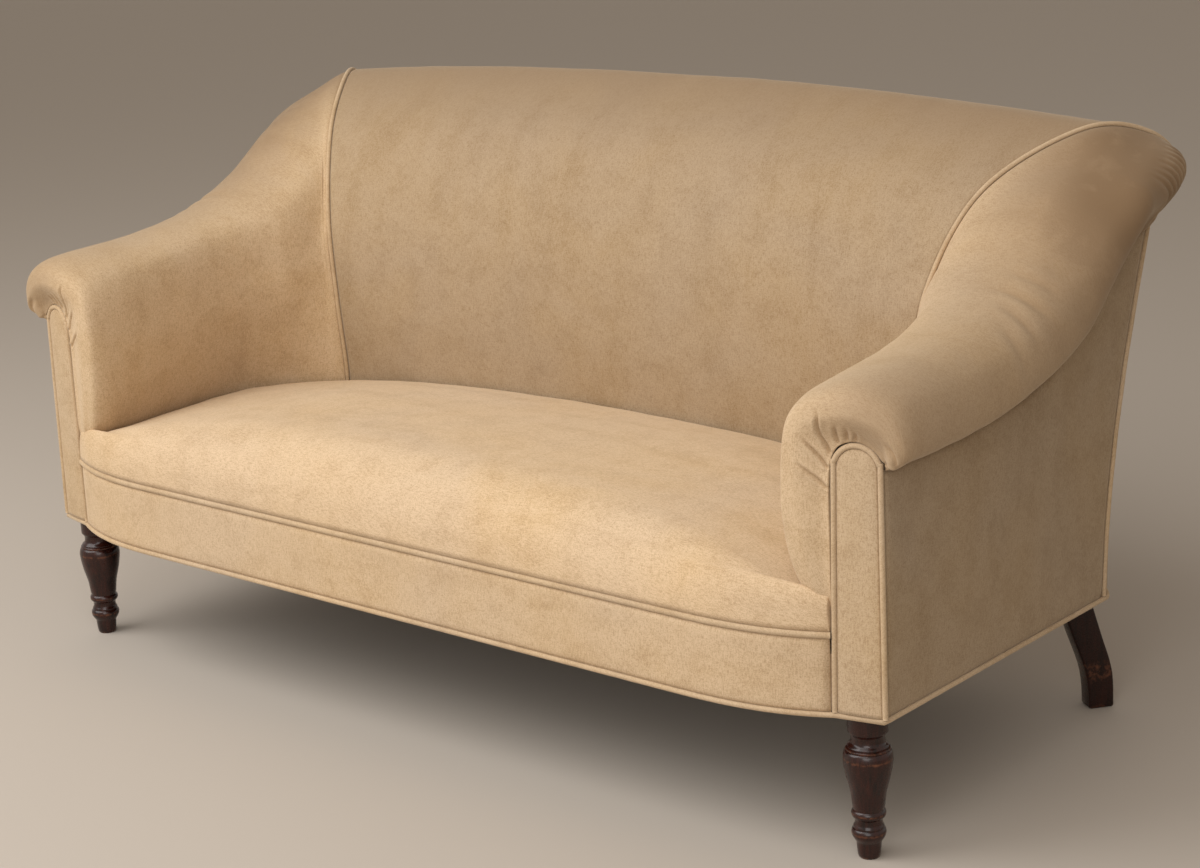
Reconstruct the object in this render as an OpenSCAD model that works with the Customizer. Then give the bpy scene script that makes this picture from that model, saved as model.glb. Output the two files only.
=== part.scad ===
// Upholstered settee with rolled arms and a rolled back, on two turned and two swept legs.
// The covers, the stuffing and the hardwood frame under them are separate pieces.
// X runs along the width, Y from the front to the back, Z up. Lengths are in millimetres.

/* [Overall] */
// Width over the two outside arm covers
body_w = 1514; // [1300:2:1800]
// Depth of the seat, from the front border to the inside back
seat_d = 465; // [430:1:520]
// Thickness of the back, from the inside back to the seam under its roll
back_t = 223; // [200:1:250]
// Distance the roll of the back stands out behind that seam
back_overhang = 77; // [60:1:90]
// Thickness of an arm, from its outside cover to its fullest point inside
arm_t = 135; // [120:1:150]
// Distance the roll of an arm stands out over its outside cover
arm_overhang = 40; // [30:1:48]

/* [Heights] */
// Height of the bottom edge of the upholstery
base_h = 186; // [170:1:215]
// Height of the front border, from the bottom edge to the seam of the seat
border_h = 104; // [98:1:110]
// Height above that seam where the inside covers go down behind the seat
tuck_rise = 10; // [8:1:14]
// Height of the seat beside the arms, above that seam
seat_side_rise = 50; // [46:1:54]
// Height of the seat crown above that seam
crown_rise = 114; // [100:1:124]
// Height of the arm roll at the front
arm_h = 598; // [575:1:620]
// Height of the back at its middle
back_h = 831; // [800:1:860]

/* [Front] */
// Width of an arm facing, across the settee
facing_w = 63; // [58:1:68]
// Height of the middle of the facing's round top
facing_spring_h = 496; // [485:1:500]
// Distance from the front border line back to the inner edge of a facing
facing_in = 43; // [40:1:46]
// Distance from the front border line back to the outer edge of a facing
facing_out = 56; // [50:1:62]
// Half width of the straight middle of the front border
straight_half_w = 480; // [400:10:560]

/* [Covers] */
// Thickness of the cloth with its lining
cover_t = 2.5; // [2:0.1:3]
// Thickness of the flat outside panels, cloth and wadding together
panel_t = 5; // [4.5:0.1:5.2]
// Thickness of a padded facing
facing_t = 9; // [8:0.5:10]
// Full thickness of the stuffing on the arms and the back
stuffing_t = 30; // [24:1:34]
// Diameter of the seat welt
seat_welt_d = 9; // [8:0.5:9.5]
// Diameter of the other welts and pipings
welt_d = 7; // [6:0.5:7.5]

/* [Front legs] */
// Distance of a front leg's centre line from the outside arm cover
leg_in = 41; // [39:1:43]
// Distance of a front leg's centre line from the front border line
leg_back = 80; // [78:1:84]
// Diameter of the foot on the floor
foot_d = 27; // [24:1:30]
// Diameter of the slim turning between the rings
ankle_d = 34; // [30:1:36]
// Diameter of the two turned rings
ring_d = 43; // [40:1:46]
// Diameter of the vase, at its widest
vase_d = 61; // [56:1:64]
// Diameter of the neck above the vase
neck_d = 42; // [38:1:44]
// Diameter of the collar under the frame
collar_d = 50; // [46:1:54]
// Diameter of the dowel that goes up into the post
leg_dowel_d = 22; // [18:1:25]
// Length of that dowel
leg_dowel_l = 34; // [24:1:36]

/* [Back legs] */
// Width of a back leg, square to its sweep
back_leg_w = 30; // [26:1:34]
// Depth of a back leg on the floor
back_foot_d = 36; // [32:1:40]
// Depth of a back leg under the frame
back_leg_d = 44; // [38:1:46]
// Distance the foot stands out beyond the top of the leg
back_sweep = 50; // [36:1:56]
// Angle of that sweep, from the width of the settee
back_leg_turn = 53; // [45:1:60]
// Distance of a foot's middle in from the outside arm cover
back_foot_in = 54; // [50:1:60]
// Distance of a foot's middle in front of the seam under the back roll
back_foot_inset = 25; // [20:1:34]

/* [Frame] */
// Thickness of the rails, from their outer to their inner face
rail_t = 32; // [28:1:36]
// Height of the seat rails
rail_h = 72; // [60:1:80]
// Depth of a front post
post_d = 54; // [50:1:60]
// Width of the front and back posts
post_w = 53; // [50:1:56]
// Depth of a back post
back_post_d = 45; // [40:1:48]
// Thickness of the board that carries the roll of the back
top_board_t = 28; // [24:1:30]
// Length of the tenons
tenon_l = 20; // [14:1:24]
// Thickness of the tenons
tenon_t = 12; // [10:1:14]
// Height of the light rails that the covers are tacked to
tack_rail_h = 34; // [28:1:40]
// Thickness of those light rails
tack_rail_t = 22; // [18:1:24]

/* [Springing] */
// Width of a webbing strap
strap_w = 50; // [40:1:55]
// Thickness of a webbing strap
strap_t = 2; // [1.5:0.1:2.2]
// Number of straps from side to side
long_straps = 3; // [2:1:3]
// Number of straps, and of springs, along the settee
cross_straps = 8; // [6:1:9]
// Diameter of a seat spring at its ends
spring_d = 88; // [70:1:92]
// Diameter of a seat spring at its waist
spring_waist_d = 58; // [50:1:64]
// Diameter of the spring wire
wire_d = 4; // [3:0.2:4.4]
// Thickness of the hessian
hessian_t = 1.5; // [1:0.1:2]

/* [Fasteners] */
// Length of the sides of a corner block
block_l = 70; // [60:1:76]
// Height of a corner block
block_h = 40; // [34:1:46]
// Diameter of the corner block screws
screw_d = 6; // [5:0.5:7]
// Length of the corner block screws
screw_l = 52; // [48:1:54]

/* [Hidden] */
$fn = 48;

cloth_colour = [0.71, 0.58, 0.41];
cord_colour = [0.66, 0.53, 0.36];
stuffing_colour = [0.88, 0.85, 0.77];
hessian_colour = [0.62, 0.50, 0.33];
frame_colour = [0.80, 0.65, 0.45];
leg_colour = [0.25, 0.09, 0.06];
dust_colour = [0.12, 0.11, 0.10];
steel_colour = [0.60, 0.61, 0.63];

clear = 0.3;
smallest_step = 0.02;
side_x = body_w / 2;
welt_h = base_h + border_h;
tuck_h = welt_h + tuck_rise;
seat_side_h = welt_h + seat_side_rise;
crown_h = welt_h + crown_rise;
overall_d = seat_d + back_t + back_overhang;
front_y = -overall_d / 2;
frame_x = side_x - panel_t - clear;
facing_inner_x = side_x - facing_w;
welt_r = welt_d / 2;
seat_welt_r = seat_welt_d / 2;
cover_bottom_h = base_h + welt_d + clear;
frame_bottom_h = base_h + welt_r + 2 * strap_t;
rail_top_h = frame_bottom_h + rail_h;
leg_x = side_x - leg_in;
leg_y = front_y + leg_back;

// Catmull-Rom curve through a list of points; s counts the points
function eased(p0, p1, p2, p3, t) =
    (2 * p1 + (p2 - p0) * t + (2 * p0 - 5 * p1 + 4 * p2 - p3) * t * t
        + (3 * p1 - p0 - 3 * p2 + p3) * t * t * t) / 2;
function along(list, s) =
    let (last = len(list) - 1,
        i = max(0, min(floor(s), last - 1)),
        before = i > 0 ? list[i - 1] : 2 * list[0] - list[1],
        after = i + 2 <= last ? list[i + 2] : 2 * list[last] - list[last - 1])
    eased(before, list[i], list[i + 1], after, s - i);
function mixed(a, b, t) = a + (b - a) * t;
function unit(v) = v / norm(v);

// A depth share runs 0 to 1 over the seat, to 2 at the seam under the back roll, to 3 at its rear
function deep(share) = front_y + seat_d * min(share, 1)
    + back_t * min(max(share - 1, 0), 1) + back_overhang * max(share - 2, 0);
// A side share runs inwards from the outside arm cover, or outwards over the roll where negative
function aside(share) = side_x - share * (share >= 0 ? arm_t : arm_overhang);
function ridge_h(rise_share) = mixed(arm_h, back_h, rise_share);
function raised(share, rise_share) = tuck_h + share * (ridge_h(rise_share) - tuck_h);

// Sections through the arm, from its facing to the seam at the inside corner. Each one runs from
// the tuck beside the seat up the inside, over the roll and down to the outside arm cover.
// A point is its side share, depth share and height share, in the units of the functions above.
rise_shares = [0, 0, 0, 0.05, 0.14, 0.32, 0.585, 0.74, 0.895];
arm_section_shares = [
    [[0.49, 0.15, 0], [0.49, 0.118, 0.135], [0.49, 0.1, 0.36], [0.49, 0.1, 0.62],
        [0.42, 0.103, 0.735], [0.235, 0.114, 0.77], [0.06, 0.124, 0.735], [-0.1, 0.129, 0.68],
        [0, 0.135, 0.66]],
    [[0.48, 0.155, 0], [0.65, 0.108, 0.135], [0.78, 0.07, 0.36], [0.83, 0.065, 0.63],
        [0.74, 0.065, 0.83], [0.25, 0.07, 0.895], [-0.33, 0.086, 0.84], [-0.75, 0.103, 0.725],
        [-0.1, 0.145, 0.663]],
    [[0.47, 0.175, 0], [0.81, 0.14, 0.135], [0.97, 0.125, 0.36], [1, 0.125, 0.65],
        [0.86, 0.135, 0.90], [0.27, 0.145, 1], [-0.6, 0.155, 0.93], [-1, 0.17, 0.74],
        [0.035, 0.2, 0.665]],
    [[0.52, 0.49, 0], [0.75, 0.49, 0.15], [0.91, 0.49, 0.40], [0.97, 0.49, 0.65],
        [0.87, 0.495, 0.93], [0.27, 0.5, 1], [-0.65, 0.5, 0.92], [-1, 0.5, 0.73],
        [0.035, 0.5, 0.64]],
    [[0.70, 0.71, 0], [0.78, 0.71, 0.15], [0.97, 0.71, 0.40], [1.08, 0.715, 0.66],
        [0.98, 0.725, 0.93], [0.27, 0.745, 1], [-0.65, 0.75, 0.92], [-1, 0.755, 0.75],
        [0.035, 0.755, 0.635]],
    [[1, 0.87, 0], [1.06, 0.87, 0.145], [1.23, 0.87, 0.38], [1.34, 0.875, 0.64],
        [1.17, 0.89, 0.90], [0.32, 0.94, 1], [-0.65, 0.965, 0.925], [-1, 0.98, 0.77],
        [0.035, 0.98, 0.635]],
    [[1.32, 0.95, 0], [1.38, 0.948, 0.135], [1.465, 0.95, 0.36], [1.44, 0.955, 0.61],
        [1.18, 1.02, 0.87], [0.37, 1.23, 1], [-0.65, 1.31, 0.93], [-1, 1.34, 0.815],
        [0.035, 1.29, 0.69]],
    [[1.52, 0.976, 0], [1.55, 0.972, 0.125], [1.545, 0.966, 0.345], [1.465, 0.98, 0.61],
        [1.16, 1.175, 0.875], [0.45, 1.54, 1], [-0.6, 1.67, 0.96], [-1, 1.72, 0.88],
        [0.035, 1.65, 0.77]],
    [[1.61, 0.995, 0], [1.64, 0.995, 0.12], [1.61, 0.98, 0.355], [1.49, 1, 0.615],
        [1.15, 1.28, 0.86], [0.57, 1.81, 0.992], [0.3, 2.5, 0.955], [0.16, 2.93, 0.865],
        [0.035, 1.98, 0.745]]];
// The section through the middle of the back: depth shares and height shares
back_section_shares = [[1.09, 0], [1.08, 0.12], [1, 0.35], [1.03, 0.61], [1.3, 0.86],
    [1.9, 1], [2.45, 0.965], [3, 0.86], [1.98, 0.71]];
corner_curve = 2.2;
guides = len(back_section_shares) - 1;
stations = len(arm_section_shares) - 1;

arm_net = [for (g = [0:guides]) [for (s = [0:stations])
    let (share = arm_section_shares[s][g])
    [aside(share.x), deep(share.y), raised(share.z, rise_shares[s])]]];
seam_net = [for (g = [0:guides]) arm_net[g][stations]];
middle_net = [for (share = back_section_shares) [0, deep(share.x), raised(share.y, 1)]];

// The section at u: 0 is the right facing, 1 the right seam, 2 the middle of the back, 3 the left
// seam. In a section v counts the points from the tuck to the outside cover.
function arm_section(u) = [for (g = [0:guides]) along(arm_net[g], u * stations)];
function back_section(share) = [for (g = [0:guides])
    let (out = pow(share, corner_curve))
    [seam_net[g].x * share, mixed(middle_net[g].y, seam_net[g].y, out),
        mixed(middle_net[g].z, seam_net[g].z, out)]];
function section(u) = u <= 1 ? arm_section(max(u, 0))
    : u <= 2 ? back_section(2 - u)
    : [for (p = section(4 - u)) [-p.x, p.y, p.z]];
function skin(u, v) = along(section(u), v);

// How much of the stuffing's thickness a place has: it thins towards its tacked edges
front_taper_share = 0.3;
edge_taper_share = 0.35;
under_taper_share = 0.2;
function fullness(u, v, last_v) =
    min(1, front_taper_share + min(u, 4 - u) * stations / 3)
        * min(1, edge_taper_share * (1 + v), under_taper_share + 0.4 * (last_v - v));

// The way that the skin faces, and rows of points across the covers, set in from their face
function facing_out_at(u, v) =
    let (low = max(v - smallest_step, 0), high = min(v + smallest_step, guides))
    unit(cross(skin(u, high) - skin(u, low),
        skin(u + smallest_step, v) - skin(max(u - smallest_step, 0), v)));
function skin_row(u, vs, deepness) = [for (v = vs) skin(u, v) - facing_out_at(u, v) * deepness];
function stuffing_row(u, vs, last_v) = [for (v = vs)
    skin(u, v) - facing_out_at(u, v) * (cover_t + clear + stuffing_t * fullness(u, v, last_v))];

// A closed sheet between two grids of points that match
module slab(face, under) {
    rows = len(face) - 1;
    last = len(face[0]) - 1;
    wide = last + 1;
    all = wide * (rows + 1);
    function f(i, j) = i * wide + j;
    function n(i, j) = all + i * wide + j;
    polyhedron(points = concat([for (r = face) each r], [for (r = under) each r]), faces = concat(
        [for (i = [0:rows - 1], j = [0:last - 1]) each [
            [f(i, j), f(i + 1, j), f(i + 1, j + 1)], [f(i, j), f(i + 1, j + 1), f(i, j + 1)],
            [n(i, j), n(i + 1, j + 1), n(i + 1, j)], [n(i, j), n(i, j + 1), n(i + 1, j + 1)]]],
        [for (i = [0:rows - 1]) each [
            [f(i + 1, 0), f(i, 0), n(i, 0)], [f(i + 1, 0), n(i, 0), n(i + 1, 0)],
            [f(i, last), f(i + 1, last), n(i + 1, last)], [f(i, last), n(i + 1, last), n(i, last)]]],
        [for (j = [0:last - 1]) each [
            [f(0, j), f(0, j + 1), n(0, j + 1)], [f(0, j), n(0, j + 1), n(0, j)],
            [f(rows, j + 1), f(rows, j), n(rows, j)],
            [f(rows, j + 1), n(rows, j), n(rows, j + 1)]]]), convexity = 6);
}

// A round cord along a list of points, on rings square to it; side is never along the cord
cord_sides = 6;
module cord(path, radius, side, closed = false) {
    last = len(path) - 1;
    rings = [for (i = [0:last])
        let (to = path[i < last ? i + 1 : closed ? 0 : i], from = path[i > 0 ? i - 1 : closed ? last : 0],
            run = unit(to - from), across = unit(side - run * (side * run)), up = cross(run, across))
        [for (k = [0:cord_sides - 1]) path[i]
            + radius * (cos(k * 360 / cord_sides) * across + sin(k * 360 / cord_sides) * up)]];
    turns = closed ? last : last - 1;
    polyhedron(points = [for (r = rings) each r], faces = concat(
        [for (i = [0:turns], k = [0:cord_sides - 1])
            let (m = (k + 1) % cord_sides, a = i * cord_sides, b = (i == last ? 0 : i + 1) * cord_sides)
            each [[a + k, b + k, b + m], [a + k, b + m, a + m]]],
        closed ? [] : [[for (k = [0:cord_sides - 1]) k]],
        closed ? [] : [[for (k = [cord_sides - 1:-1:0]) last * cord_sides + k]]), convexity = 6);
}

// Front line of the seat and the bottom edge: straight in the middle, bowed back at the ends
bow_power = 2.7;
function bow_y(x) = front_y + facing_in
    * pow(max(0, abs(x) - straight_half_w) / (facing_inner_x - straight_half_w), bow_power);
bow_steps = 6;
function bow_line(end_x, offset) =
    let (curve = [for (i = [bow_steps:-1:0]) mixed(straight_half_w, end_x, i / bow_steps)])
    [each [for (x = curve) [-x, bow_y(x) + offset]],
        each [for (i = [len(curve) - 1:-1:0]) [curve[i], bow_y(curve[i]) + offset]]];

// Line of the outside back in a side view, from the bottom edge to the seam under the roll
back_line_shares = [[0.528, 0], [0.536, 0.09], [0.553, 0.2], [0.585, 0.31], [0.645, 0.46],
    [0.742, 0.64], [0.866, 0.82], [1, 1]];
outside_seam_h = seam_net[guides].z;
back_line = [for (share = back_line_shares)
    [deep(1 + share.x), mixed(base_h, outside_seam_h, share.y)]];
function back_line_y(z) = lookup(z, [for (p = back_line) [p.y, p.x]]);

// Covers of the arms and the back
row_shares = [0, 0.06, 0.125, 0.185, 0.25, 0.34, 0.44, 0.54, 0.63, 0.71, 0.79, 0.86, 0.93];
back_row_shares = [0.93, 0.85, 0.74, 0.6, 0.45, 0.3, 0.15, 0];
cover_steps = [0, 0.6, 1, 2, 2.5, 3, 3.5, 4, 4.5, 5, 5.5, 6, 6.5, 7, 7.5, 8];
stuffing_steps = [0.6, 1, 2, 2.5, 3, 3.5, 4, 4.5, 5, 5.5, 6, 6.5, 7];
stuffing_end = 7;
// The covers stop beside the piping, at a gap that is the same all along the seam
seam_gap = welt_r + 2 * clear;
// Beside the seam on one side of it: the way along the covers, square to the seam
function seam_beside(v, way) =
    let (run = unit(skin(1, min(v + smallest_step, guides)) - skin(1, max(v - smallest_step, 0))),
        near = skin(1 + 3 * way * smallest_step, v) - skin(1, v))
    [unit(near - run * (near * run)), run];
function seam_edge(v, way) = skin(1, v) + seam_beside(v, way)[0] * seam_gap;
function seam_side(v, way) = let (beside = seam_beside(v, way)) way * cross(beside[1], beside[0]);
function seam_row(vs, way, deepness) = [for (v = vs)
    seam_edge(v, way) - seam_side(v, way) * deepness];
function seam_stuffing_row(vs, way) = [for (v = vs)
    let (both = unit(seam_side(v, -1) + seam_side(v, 1)))
    seam_edge(v, way) - both * (cover_t + clear + stuffing_t * fullness(1, v, stuffing_end))];

function mirrored(rows) = [for (i = [len(rows) - 1:-1:0]) [for (p = rows[i]) [-p.x, p.y, p.z]]];
function arm_grid(vs, deepness) =
    concat([for (u = row_shares) if (u < 0.9) skin_row(u, vs, deepness)], [seam_row(vs, -1, deepness)]);
function arm_under_grid() =
    concat([for (u = row_shares) if (u < 0.9) stuffing_row(u, stuffing_steps, stuffing_end)],
        [seam_stuffing_row(stuffing_steps, -1)]);
function whole_back(right, centre) = concat(right, [centre], mirrored(right));
function back_grid(vs, deepness) = whole_back(
    concat([seam_row(vs, 1, deepness)],
        [for (share = back_row_shares) if (share > 0) skin_row(2 - share, vs, deepness)]),
    skin_row(2, vs, deepness));
function back_under_grid() = whole_back(
    concat([seam_stuffing_row(stuffing_steps, 1)],
        [for (share = back_row_shares)
            if (share > 0) stuffing_row(2 - share, stuffing_steps, stuffing_end)]),
    stuffing_row(2, stuffing_steps, stuffing_end));

module inside_arm_cover_right() {
    color(cloth_colour) slab(arm_grid(cover_steps, 0), arm_grid(cover_steps, cover_t));
}
module inside_arm_cover_left() { mirror([1, 0, 0]) inside_arm_cover_right(); }
module arm_stuffing_right() {
    color(stuffing_colour) slab(arm_grid(stuffing_steps, cover_t + clear), arm_under_grid());
}
module arm_stuffing_left() { mirror([1, 0, 0]) arm_stuffing_right(); }
module inside_back_cover() {
    color(cloth_colour) slab(back_grid(cover_steps, 0), back_grid(cover_steps, cover_t));
}
module back_stuffing() {
    color(stuffing_colour) slab(back_grid(stuffing_steps, cover_t + clear), back_under_grid());
}
module arm_back_piping_right() {
    color(cord_colour) cord([for (v = cover_steps) if (v > 0) skin(1, v)], welt_r,
        unit([back_t, -arm_t, 0]));
}
module arm_back_piping_left() { mirror([1, 0, 0]) arm_back_piping_right(); }

// Seat: s runs across from -1 to 1, t from the front to the back
seat_end_x = facing_inner_x - welt_r - clear;
tuck_table = [each [for (u = row_shares) [skin(u, 0).y, skin(u, 0).x]], [seam_net[0].y, seam_net[0].x]];
// Where the top of the seat meets the arm, behind the end of its front edge
first_meeting_share = 0.1;
meeting_table = [[front_y + facing_in, seat_end_x],
    each [for (u = row_shares) if (u > first_meeting_share) [skin(u, 1).y, skin(u, 1).x]],
    [seam_net[1].y, seam_net[1].x]];
seat_front_h = welt_h + seat_welt_r + clear;
nose_share = 0.22;
nose_power = 2.3;
crown_power = 3.2;
// Clear of the arms and of the back, at the top and at the tuck below it
seat_gaps = [2.6, 9];
tuck_gaps = [1.2, 1];
corner_rise = 6;
rear_fall_share = 0.6;
function seat_top_h(s, t) = seat_side_h + corner_rise * t * t
    + (crown_h - seat_side_h) * (1 - pow(abs(s), crown_power)) * (1 - rear_fall_share * pow(t, 3));
// The rounded front edge is as deep as it is high
function seat_nose(s, t) =
    let (depth = nose_share * (seat_top_h(s, 0) - seat_front_h) / (crown_h - seat_front_h))
    t >= depth ? 1 : pow(1 - pow(1 - t / depth, nose_power), 1 / nose_power);
function seat_back_y(share) = mixed(middle_net[0].y, seam_net[0].y, pow(share, corner_curve));
function seat_point(s, t, inset, table = meeting_table, gaps = seat_gaps) =
    let (end_y = mixed(front_y + facing_in, seam_net[0].y, t),
        x = s * (lookup(end_y, table) - gaps[0] - inset),
        rear = seat_back_y(min(1, abs(x) / seam_net[0].x)) - gaps[1] - inset)
    [x, mixed(bow_y(x) + inset, rear, t),
        mixed(seat_front_h, seat_top_h(s, t) - inset, seat_nose(s, t))];
seat_half_shares = [0.2, 0.4, 0.6, 0.76, 0.88, 0.96, 1];
seat_across_shares = [each [for (share = reversed(seat_half_shares)) -share], 0, each seat_half_shares];
seat_deep_shares = [0, 0.012, 0.04, 0.09, 0.15, 0.22, 0.36, 0.52, 0.68, 0.82, 0.93, 1];
function lowered(p, height) = [p.x, p.y, height];
function seat_flap(s, t, inset) = lowered(seat_point(s, t, inset, tuck_table, tuck_gaps), seat_front_h);
function seat_row(t, inset) = [seat_flap(-1, t, inset),
    each [for (s = seat_across_shares) seat_point(s, t, inset)],
    seat_flap(1, t, inset)];
function seat_grid(inset) = [each [for (t = seat_deep_shares) seat_row(t, inset)],
    [seat_flap(-1, 1, inset), each [for (s = seat_across_shares) seat_flap(s, 1, inset)],
        seat_flap(1, 1, inset)]];
first_stuffing_share = 0.006;
stuffing_rows = [for (t = seat_deep_shares) [for (s = seat_across_shares)
    seat_point(s, max(t, first_stuffing_share), cover_t + (t > 0 ? 1 : 4) * clear)]];

module seat_cover() {
    color(cloth_colour) slab(seat_grid(0), seat_grid(cover_t));
}
module seat_stuffing() {
    color(stuffing_colour)
    slab([for (i = [0:len(stuffing_rows) - 1]) [for (p = stuffing_rows[i])
        i > 0 ? p : lowered(p, tuck_h + hessian_t)]],
        [for (row = stuffing_rows) [for (p = row) lowered(p, tuck_h)]]);
}

// Lines of the base and of the outside back
side_line_x = side_x - welt_r / 2;
rear_corner_w = 117;
rear_corner_power = 1.5;
// How far the middle of the back stands behind its corners, at the heights of that line
rear_bow_shares = [0.40, 0.375, 0.335, 0.285, 0.215, 0.13, 0.06, 0];
function rear_corner(x) =
    let (share = max(0, abs(x) - (side_x - rear_corner_w)) / rear_corner_w)
    pow(1 - pow(min(1, share), rear_corner_power), 1 / rear_corner_power);
rear_bow_table = [for (i = [0:len(back_line) - 1]) [back_line[i].y, back_t * rear_bow_shares[i]]];
function rear_y(x, z) = back_line_y(z) + rear_corner(x) * lookup(z, rear_bow_table);
panel_gap = panel_t + clear;
seam_drop = 5;
panel_top_h = outside_seam_h - seam_drop;
rear_welt_w = 1.8 * welt_r;
rear_x_shares = [1, 0.97, 0.92, 0.86, 0.79, 0.7, 0.5, 0.25, 0];
panel_heights = [cover_bottom_h, each [for (i = [1:len(back_line) - 2]) back_line[i].y], panel_top_h];
rear_edge_x = side_x - rear_welt_w - clear;
function rear_row(z, offset) =
    let (half = [for (share = rear_x_shares)
        [rear_edge_x * share, rear_y(rear_edge_x * share, z) - offset, z]])
    [each half, each [for (i = [len(half) - 2:-1:0]) [-half[i].x, half[i].y, z]]];

module outside_back_cover() {
    color(cloth_colour) slab([for (z = panel_heights) rear_row(z, 0)],
        [for (z = panel_heights) rear_row(z, panel_t)]);
}
module outside_arm_cover_right() {
    seam_points = [for (u = row_shares) if (u >= 0.185) skin(u, guides)];
    rear_inset = rear_welt_w + clear;
    panel_front_y = front_y + facing_out + 1.5 * welt_r + 2 * clear;
    bottom = [[panel_front_y, cover_bottom_h],
        [back_line_y(cover_bottom_h) - rear_inset, cover_bottom_h]];
    rear = [for (i = [1:len(back_line) - 2]) [back_line[i].x - rear_inset, back_line[i].y]];
    rear_top_h = panel_top_h - seam_drop;
    top = [for (i = [len(seam_points) - 1:-1:0]) [seam_points[i].y, seam_points[i].z - seam_drop]];
    front_top = [[panel_front_y, top[len(top) - 1].y]];
    color(cloth_colour) translate([side_x - panel_t, 0, 0]) rotate([90, 0, 90])
    linear_extrude(height = panel_t) polygon(concat(bottom, rear,
        [[back_line_y(rear_top_h) - rear_inset, rear_top_h]], top, front_top));
}
module outside_arm_cover_left() { mirror([1, 0, 0]) outside_arm_cover_right(); }
module rear_edge_welt_right() {
    heights = [cover_bottom_h, each [for (i = [1:len(back_line) - 2]) back_line[i].y], panel_top_h];
    color(cord_colour) cord([for (z = heights)
        [side_x - welt_r / 2 - clear, back_line_y(z) - welt_r / 2 - clear, z]], welt_r, [0, 1, 0]);
}
module rear_edge_welt_left() { mirror([1, 0, 0]) rear_edge_welt_right(); }

module front_border() {
    end_x = facing_inner_x - welt_r - clear;
    color(cloth_colour) translate([0, 0, cover_bottom_h])
    linear_extrude(height = welt_h - seat_welt_r - clear - cover_bottom_h)
    polygon(concat(bow_line(end_x, 0), reversed(bow_line(end_x, panel_t))));
}
function reversed(list) = [for (i = [len(list) - 1:-1:0]) list[i]];
module seat_welt() {
    end_x = facing_inner_x - welt_r - clear;
    color(cord_colour) cord([for (p = bow_line(end_x, seat_welt_r / 2)) [p.x, p.y, welt_h]],
        seat_welt_r, [0, 0, 1]);
}

// Outline of the base, where the bottom welt runs
module bottom_welt() {
    inset = welt_r / 2;
    welt_z = base_h + welt_r;
    front = [for (p = bow_line(facing_inner_x, inset)) if (p.x > 0) [p.x, p.y, welt_z]];
    corner = [[side_line_x, front_y + facing_out + inset, welt_z]];
    rear = [for (share = rear_x_shares) if (share > 0)
        [side_line_x * share, rear_y(side_line_x * share, base_h) - inset, welt_z]];
    half = concat(front, corner, rear);
    color(cord_colour) cord(concat(half, [for (p = reversed(half)) [-p.x, p.y, p.z]]), welt_r,
        [0, 0, 1], true);
}

// Arm facings: an arched board face, turned a little outwards, with a cord round it
facing_turn = atan2(facing_out - facing_in, facing_w);
facing_l = norm([facing_w, facing_out - facing_in]);
facing_taper = 3;
arch_r = facing_l / 2 - facing_taper;
facing_edge = 2;
facing_low_h = frame_bottom_h + clear;
module facing_outline(inset) {
    polygon([[inset, facing_low_h], [facing_l - inset, facing_low_h],
        [facing_l - facing_taper - inset, facing_spring_h], [facing_taper + inset, facing_spring_h]]);
    translate([facing_l / 2, facing_spring_h]) circle(r = arch_r - inset);
}
module at_facing() {
    translate([facing_inner_x, front_y + facing_in, 0]) rotate([0, 0, facing_turn]) children();
}
module arm_facing_right() {
    inset = welt_r + clear;
    color(cloth_colour) at_facing() rotate([90, 0, 0]) {
        translate([0, 0, -facing_t]) linear_extrude(height = facing_t - facing_edge)
        facing_outline(inset);
        translate([0, 0, -facing_edge]) linear_extrude(height = facing_edge)
        facing_outline(inset + facing_edge);
    }
}
module arm_facing_left() { mirror([1, 0, 0]) arm_facing_right(); }
module facing_welt_right() {
    deepness = welt_r / 2;
    arch = [for (a = [180:-22.5:0])
        [facing_l / 2 + arch_r * cos(a), deepness, facing_spring_h + arch_r * sin(a)]];
    middle_h = mixed(cover_bottom_h, facing_spring_h, 1 / 2);
    path = concat([[0, deepness, cover_bottom_h], [facing_taper / 2, deepness, middle_h]], arch,
        [[facing_l - facing_taper / 2, deepness, middle_h], [facing_l, deepness, cover_bottom_h]]);
    color(cord_colour) at_facing() cord(path, welt_r, [0, 1, 0]);
}
module facing_welt_left() { mirror([1, 0, 0]) facing_welt_right(); }

// Frame
frame_front_gap = facing_t / cos(facing_turn) + clear;
function facing_back_y(x) = front_y + facing_in + frame_front_gap
    + (x - facing_inner_x) * (facing_out - facing_in) / facing_w;
post_inner_x = facing_inner_x + welt_r / 2 - clear;
front_post_back_y = front_y + facing_in + 1.2 * post_d;
board_drop = 22;
post_top_h = facing_spring_h - board_drop;
tenon_h = 26;
tenon_low_h = rail_top_h - tenon_h - tenon_t / 2;
// The outside back between the points of its rows, less its thickness
function rear_frame_y(x, z) = lookup(abs(x), [for (share = reversed(rear_x_shares))
    [rear_edge_x * share, rear_y(rear_edge_x * share, z) - panel_gap]]);
post_outer_x = frame_x - cover_t;
function back_post_rear_y(z) = rear_frame_y(post_outer_x, z) - 4 * clear;
function back_post_front_y(z) = back_post_rear_y(z) - back_post_d;

front_tenon_y = facing_back_y(post_inner_x) + tenon_t;
side_tenon_x = frame_x - rail_t / 2;
module tenon_along_x(x, y, length, gap) {
    translate([x, y - tenon_t / 2 - gap, tenon_low_h - gap])
    cube([length + gap, tenon_t + 2 * gap, tenon_h + 2 * gap]);
}
module tenon_along_y(x, y, length, gap) {
    translate([x - tenon_t / 2 - gap, y, tenon_low_h - gap])
    cube([tenon_t + 2 * gap, length + gap, tenon_h + 2 * gap]);
}
tenon_gap = 0.2;
overrun = 1;

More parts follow.
